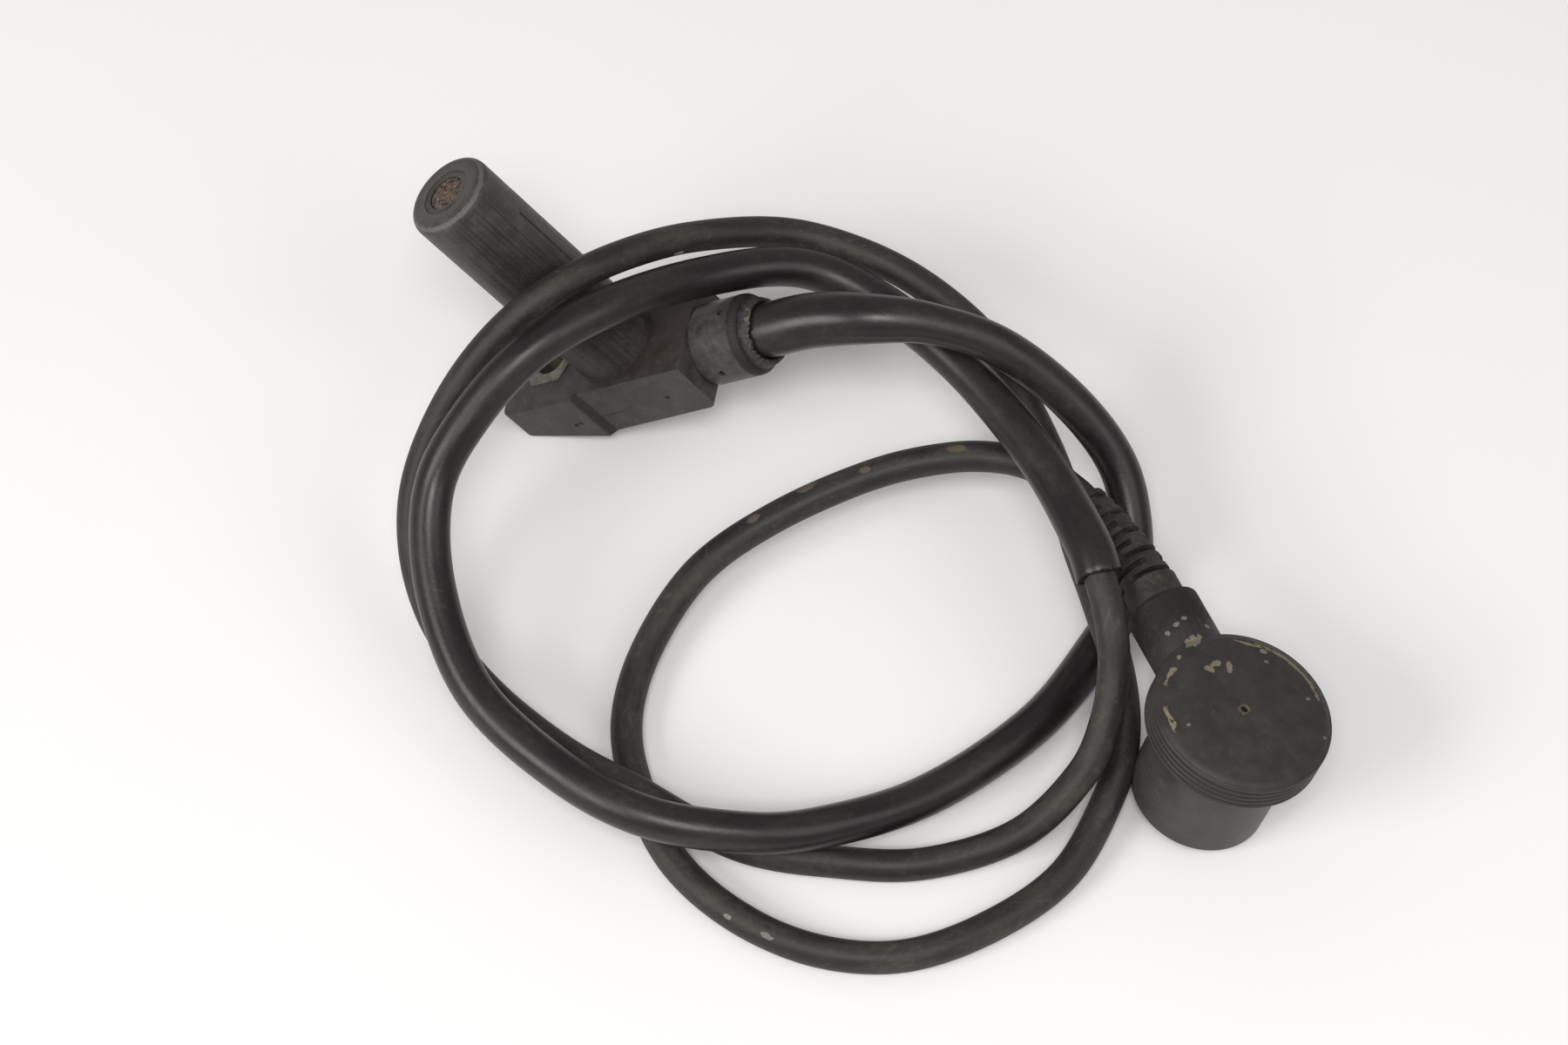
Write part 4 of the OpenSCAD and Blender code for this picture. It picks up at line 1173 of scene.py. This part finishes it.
@dataclass
class Plug:
    """Round plug: ribbed cap with its neck, shroud and bend relief."""

    sizes: PlugSizes = field(default_factory=PlugSizes)
    made: dict[str, bpy.types.Object] = field(default_factory=dict)

    def build(self) -> None:
        """Makes the visible pieces."""
        self.made = {
            "cap": rounded_copy("connector_cap", "cap", 0.18),
            "shroud": rounded_copy("connector_shroud", "shroud", 0.2),
            "boot": rounded_copy("bend_relief", "boot", 0.15),
        }
        true_normals(self.made["cap"], PLUG_POSE, self.sizes.neck_z, self.sizes.neck_r)

    def residue_and_shade(self) -> tuple[Stain, ...]:
        """Painted shade on the neck and in the grooves between the cap's ribs, and old sealant on the cap's
        top and its neck: thin lines near the rim, patches and specks.
        """
        beige, grey, near_black = (0.22, 0.195, 0.138), (0.2, 0.19, 0.165), (0.004, 0.004, 0.004)
        dark = (0.011, 0.0101, 0.0097)
        s = self.sizes
        top, flat = s.height, ZERO
        lines = (
            ((3.3, 14.7), (1.6, 0.4), 15.0),
            ((0.9, 14.7), (0.9, 0.5), -30.0),
            ((11.5, 9.4), (1.3, 0.5), -62.0),
            ((13.9, 6.7), (0.8, 0.45), -40.0),
            ((12.7, -7.6), (2.7, 0.35), 53.0),
            ((10.2, -9.9), (0.7, 0.5), 40.0),
            ((9.9, 2.2), (1.2, 0.6), 40.0),
            ((9.2, -1.8), (1.5, 0.6), -20.0),
            ((10.6, 0.2), (0.7, 1.4), 0.0),
        )
        specks = (
            (0.2, 11.9, top, 0.4), (-1.7, -13.0, top, 0.35), (-10.5, 13.2, top, 0.4),
            (8.0, -9.2, top, 0.35), (-10.2, -12.1, top, 0.35), (21.2, 2.9, 28.2, 0.5),
            (21.8, 1.1, 28.8, 0.45), (20.5, 4.9, 27.0, 0.5), (19.0, -2.6, 28.4, 0.5),
        )
        streaks = tuple(
            Stain((x, y, top), (long, wide, 1.0), beige, 0.9, (0.0, 0.0, turn))
            for (x, y), (long, wide), turn in lines
        )
        speck_turn, speck_long = (0.0, 0.0, 70.0), 1.4
        dots = tuple(Stain((x, y, z), (speck_long * r, r, r), grey, 0.8, speck_turn) for x, y, z, r in specks)
        arcs = (((5.5, -14.0), (9.5, 7.0)), ((10.8, 10.6), (2.4, 2.6)), ((2.3, 15.0), (3.2, 2.4)))
        kept = tuple(Stain((x, y, top), (long, wide, 6.0), soft=0.4) for (x, y), (long, wide) in arcs)
        thin, rim_r = (0.3, 0.3, 0.9), 15.2
        rim = tuple(Stain((0.0, 0.0, top), thin, beige, 0.85, flat, 2.0, ring=rim_r, within=w) for w in kept)
        # Painted shade: near-black rings in the grooves between the cap's ribs.
        heights = (s.cap_foot + s.rib_pitch * k for k in range(s.ribs))
        groove = (0.6, 0.6, 0.34)
        groove_shades = tuple(
            Stain((0.0, 0.0, z), groove, near_black, 0.9, flat, 0.2, 0.6, ring=s.groove_r) for z in heights
        )
        # Painted shade: the neck darkened to a near-black tone.
        neck = Stain((25.0, 0.0, s.neck_z), (9.5, 10.5, 10.5), dark, 0.9, flat, 0.25, 0.3)
        junction = Stain((16.6, 1.9, 28.8), (1.2, 2.0, 1.3), beige, 0.85, (0.0, 0.0, 20.0), 1.4)
        gate = Stain((0.0, 0.0, top), (1.3, 1.3, 0.5), beige, 0.5, flat, 0.8, 0.5)
        return (neck, *groove_shades, *rim, *streaks, *dots, junction, gate)

    def dress(self) -> None:
        """Gives each piece its finish."""
        cap = WornPolymer(
            "cap_plastic", PatternFrame.PLUG,
            base=(0.032, 0.0288, 0.0278), cloud=(0.04, 0.0362, 0.0342), dust=(0.09, 0.082, 0.07),
            cloud_size=5.0, dust_cover=0.18, gloss=(0.4, 0.55), specular=0.25, stains=self.residue_and_shade(),
        )
        shroud = WornPolymer(
            "shroud_plastic", PatternFrame.PLUG,
            base=(0.034, 0.031, 0.0297), cloud=(0.05, 0.0455, 0.0435), dust=(0.11, 0.102, 0.09),
            cloud_size=8.0, gloss=(0.38, 0.5), dust_cover=0.2, specular=0.35,
        )
        boot = WornPolymer(
            "boot_rubber", PatternFrame.PLUG,
            base=(0.027, 0.0241, 0.0222), cloud=(0.048, 0.0425, 0.0385), dust=(0.12, 0.106, 0.09),
            cloud_size=3.0, gloss=(0.6, 0.8), dust_cover=0.45, edge=0.45, specular=0.25,
        )
        dress(self.made["cap"], cap.material())
        dress(self.made["shroud"], shroud.material())
        dress(self.made["boot"], boot.material())


@dataclass
class InnerPieces:
    """CAD nodes inside the sensor and the plug, which keep their mesh and get a finish."""

    carried: tuple[str, ...] = (
        "contact_insert", "signal_contacts", "shield_contact",
        "face_seal", "crimp_ferrule", "connector_leads",
    )

    def on_cord(self) -> list[bpy.types.Object]:
        """The inner nodes that the cable carries with the plug."""
        return [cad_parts[node] for node in self.carried]

    def dress(self) -> None:
        """Puts a finish on each inner node."""
        row, sensor, plug = PatternFrame.ROW, PatternFrame.SENSOR, PatternFrame.PLUG
        brass = DullMetal("contact_brass", row, (0.62, 0.47, 0.22), (0.3, 0.2, 0.09))
        turns = (1.0, 1.0, 0.2)
        copper = DullMetal("winding_copper", sensor, (0.55, 0.25, 0.12), (0.25, 0.09, 0.04), grain=turns)
        ferrite = DullMetal("magnet_grey", sensor, (0.22, 0.22, 0.23), (0.09, 0.09, 0.095))
        lead = WornPolymer("lead_sheath", row, (0.22, 0.08, 0.05), (0.3, 0.12, 0.07), (0.3, 0.2, 0.15))
        insert = WornPolymer(
            "insert_plastic", plug,
            base=(0.07, 0.066, 0.058), cloud=(0.1, 0.094, 0.08), dust=(0.16, 0.15, 0.12),
        )
        seal = WornPolymer(
            "seal_rubber", plug,
            base=(0.02, 0.02, 0.02), cloud=(0.03, 0.03, 0.03), dust=(0.08, 0.075, 0.065),
        )
        plan = {
            brass: ("terminal_strips", "signal_contacts", "shield_contact", "crimp_ferrule"),
            copper: ("coil_winding",),
            ferrite: ("bar_magnet",),
            lead: ("sensor_leads", "connector_leads"),
            insert: ("contact_insert",),
            seal: ("face_seal",),
        }
        for finish, nodes in plan.items():
            material = finish.material()
            for node in nodes:
                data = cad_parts[node].data
                data.materials.clear()
                data.materials.append(material)
                LOG.info("inner node %s", node)


@dataclass(frozen=True)
class Lamp:
    """A square soft box: its name, its place and edge in mm and its power in watts."""

    name: str
    place: Triple
    edge: float
    watts: float


@dataclass
class Studio:
    """Pale floor, soft light and the camera at the photograph's angle, in mm."""

    camera_at: Triple = (101.7, -358.9, 572.9)
    looks_at: Triple = (40.6, -22.9, 0.0)
    lens: float = 76.0
    film_width: float = 36.0
    nearest: float = 10.0
    sky: float = 0.365
    light_colour: Colour = (1.0, 0.985, 0.972)
    lamps: tuple[Lamp, ...] = (
        Lamp("key", (-800.0, -770.0, 810.0), 580.0, 8.8),
        Lamp("fill", (880.0, -410.0, 900.0), 700.0, 2.7),
        Lamp("front", (110.0, -630.0, 1170.0), 400.0, 7.7),
    )
    floor_half: float = 3000.0
    floor_drop: float = -0.08
    floor_colour: Colour = (0.88, 0.875, 0.87)
    floor_shade: float = 0.97
    floor_mottle: float = 9.0
    floor_rough: float = 0.85

    def build(self) -> None:
        """Makes camera, lights, world and floor."""
        self.make_camera()
        self.make_world()
        self.make_floor()
        for lamp in self.lamps:
            self.make_light(lamp)
        bpy.context.scene.view_settings.view_transform = "Standard"

    def make_camera(self) -> None:
        """Puts the camera where the photograph was taken from."""
        data = bpy.data.cameras.new("camera")
        data.lens = self.lens
        data.sensor_width = self.film_width
        data.sensor_fit = "HORIZONTAL"
        data.clip_start = self.nearest * MM
        camera = bpy.data.objects.new("camera", data)
        place, aim = Vector(self.camera_at) * MM, Vector(self.looks_at) * MM
        camera.location = place
        camera.rotation_mode = "QUATERNION"
        camera.rotation_quaternion = (aim - place).to_track_quat("-Z", "Y")
        bpy.context.scene.collection.objects.link(camera)
        bpy.context.scene.camera = camera

    def make_light(self, lamp: Lamp) -> None:
        """Adds a soft box that faces the middle of the part.

        Args:
            lamp: the soft box.
        """
        data = bpy.data.lights.new(lamp.name, "AREA")
        data.size = lamp.edge * MM
        data.energy = lamp.watts
        data.color = self.light_colour
        light = bpy.data.objects.new(lamp.name, data)
        light.location = Vector(lamp.place) * MM
        aim = Vector(self.looks_at) * MM - light.location
        light.rotation_mode = "QUATERNION"
        light.rotation_quaternion = aim.to_track_quat("-Z", "Y")
        bpy.context.scene.collection.objects.link(light)

    def make_world(self) -> None:
        """Soft even light from all round; the floor's own colour makes the pale background."""
        world = bpy.data.worlds.new("studio")
        world.use_nodes = True
        sky = world.node_tree.nodes["Background"]
        sky.inputs["Color"].default_value = (*self.light_colour, 1.0)
        sky.inputs["Strength"].default_value = self.sky
        bpy.context.scene.world = world

    def make_floor(self) -> None:
        """Large pale sheet just under the part."""
        around = self.floor_half * np.array([[-1.0, -1.0], [1.0, -1.0], [1.0, 1.0], [-1.0, 1.0]])
        corners = np.column_stack([around, np.full(len(around), self.floor_drop)]) * MM
        floor = add_mesh("floor", corners, np.array([[0, 1, 2, 3]]))
        bench = Bench("floor_paper")
        soft = bench.noise(bench.coords(PatternFrame.ROW), self.floor_mottle, 3)
        shade = tuple(self.floor_shade * c for c in self.floor_colour)
        colour = bench.blend(soft, self.floor_colour, shade)
        floor.data.materials.append(bench.finish(colour, self.floor_rough))


def main() -> None:
    """Builds the studio, the cords, the sensor and the plug, then gives every piece its finish."""
    logging.basicConfig(level=logging.INFO, format="%(name)s: %(message)s")
    studio, cord, sensor, plug, inner = Studio(), Cord(), Sensor(), Plug(), InnerPieces()
    studio.build()
    cord.build()
    sensor.build()
    plug.build()
    sensor.dress()
    plug.dress()
    inner.dress()
    cord.dress([*plug.made.values(), *inner.on_cord()])


if __name__ == "__main__":
    main()
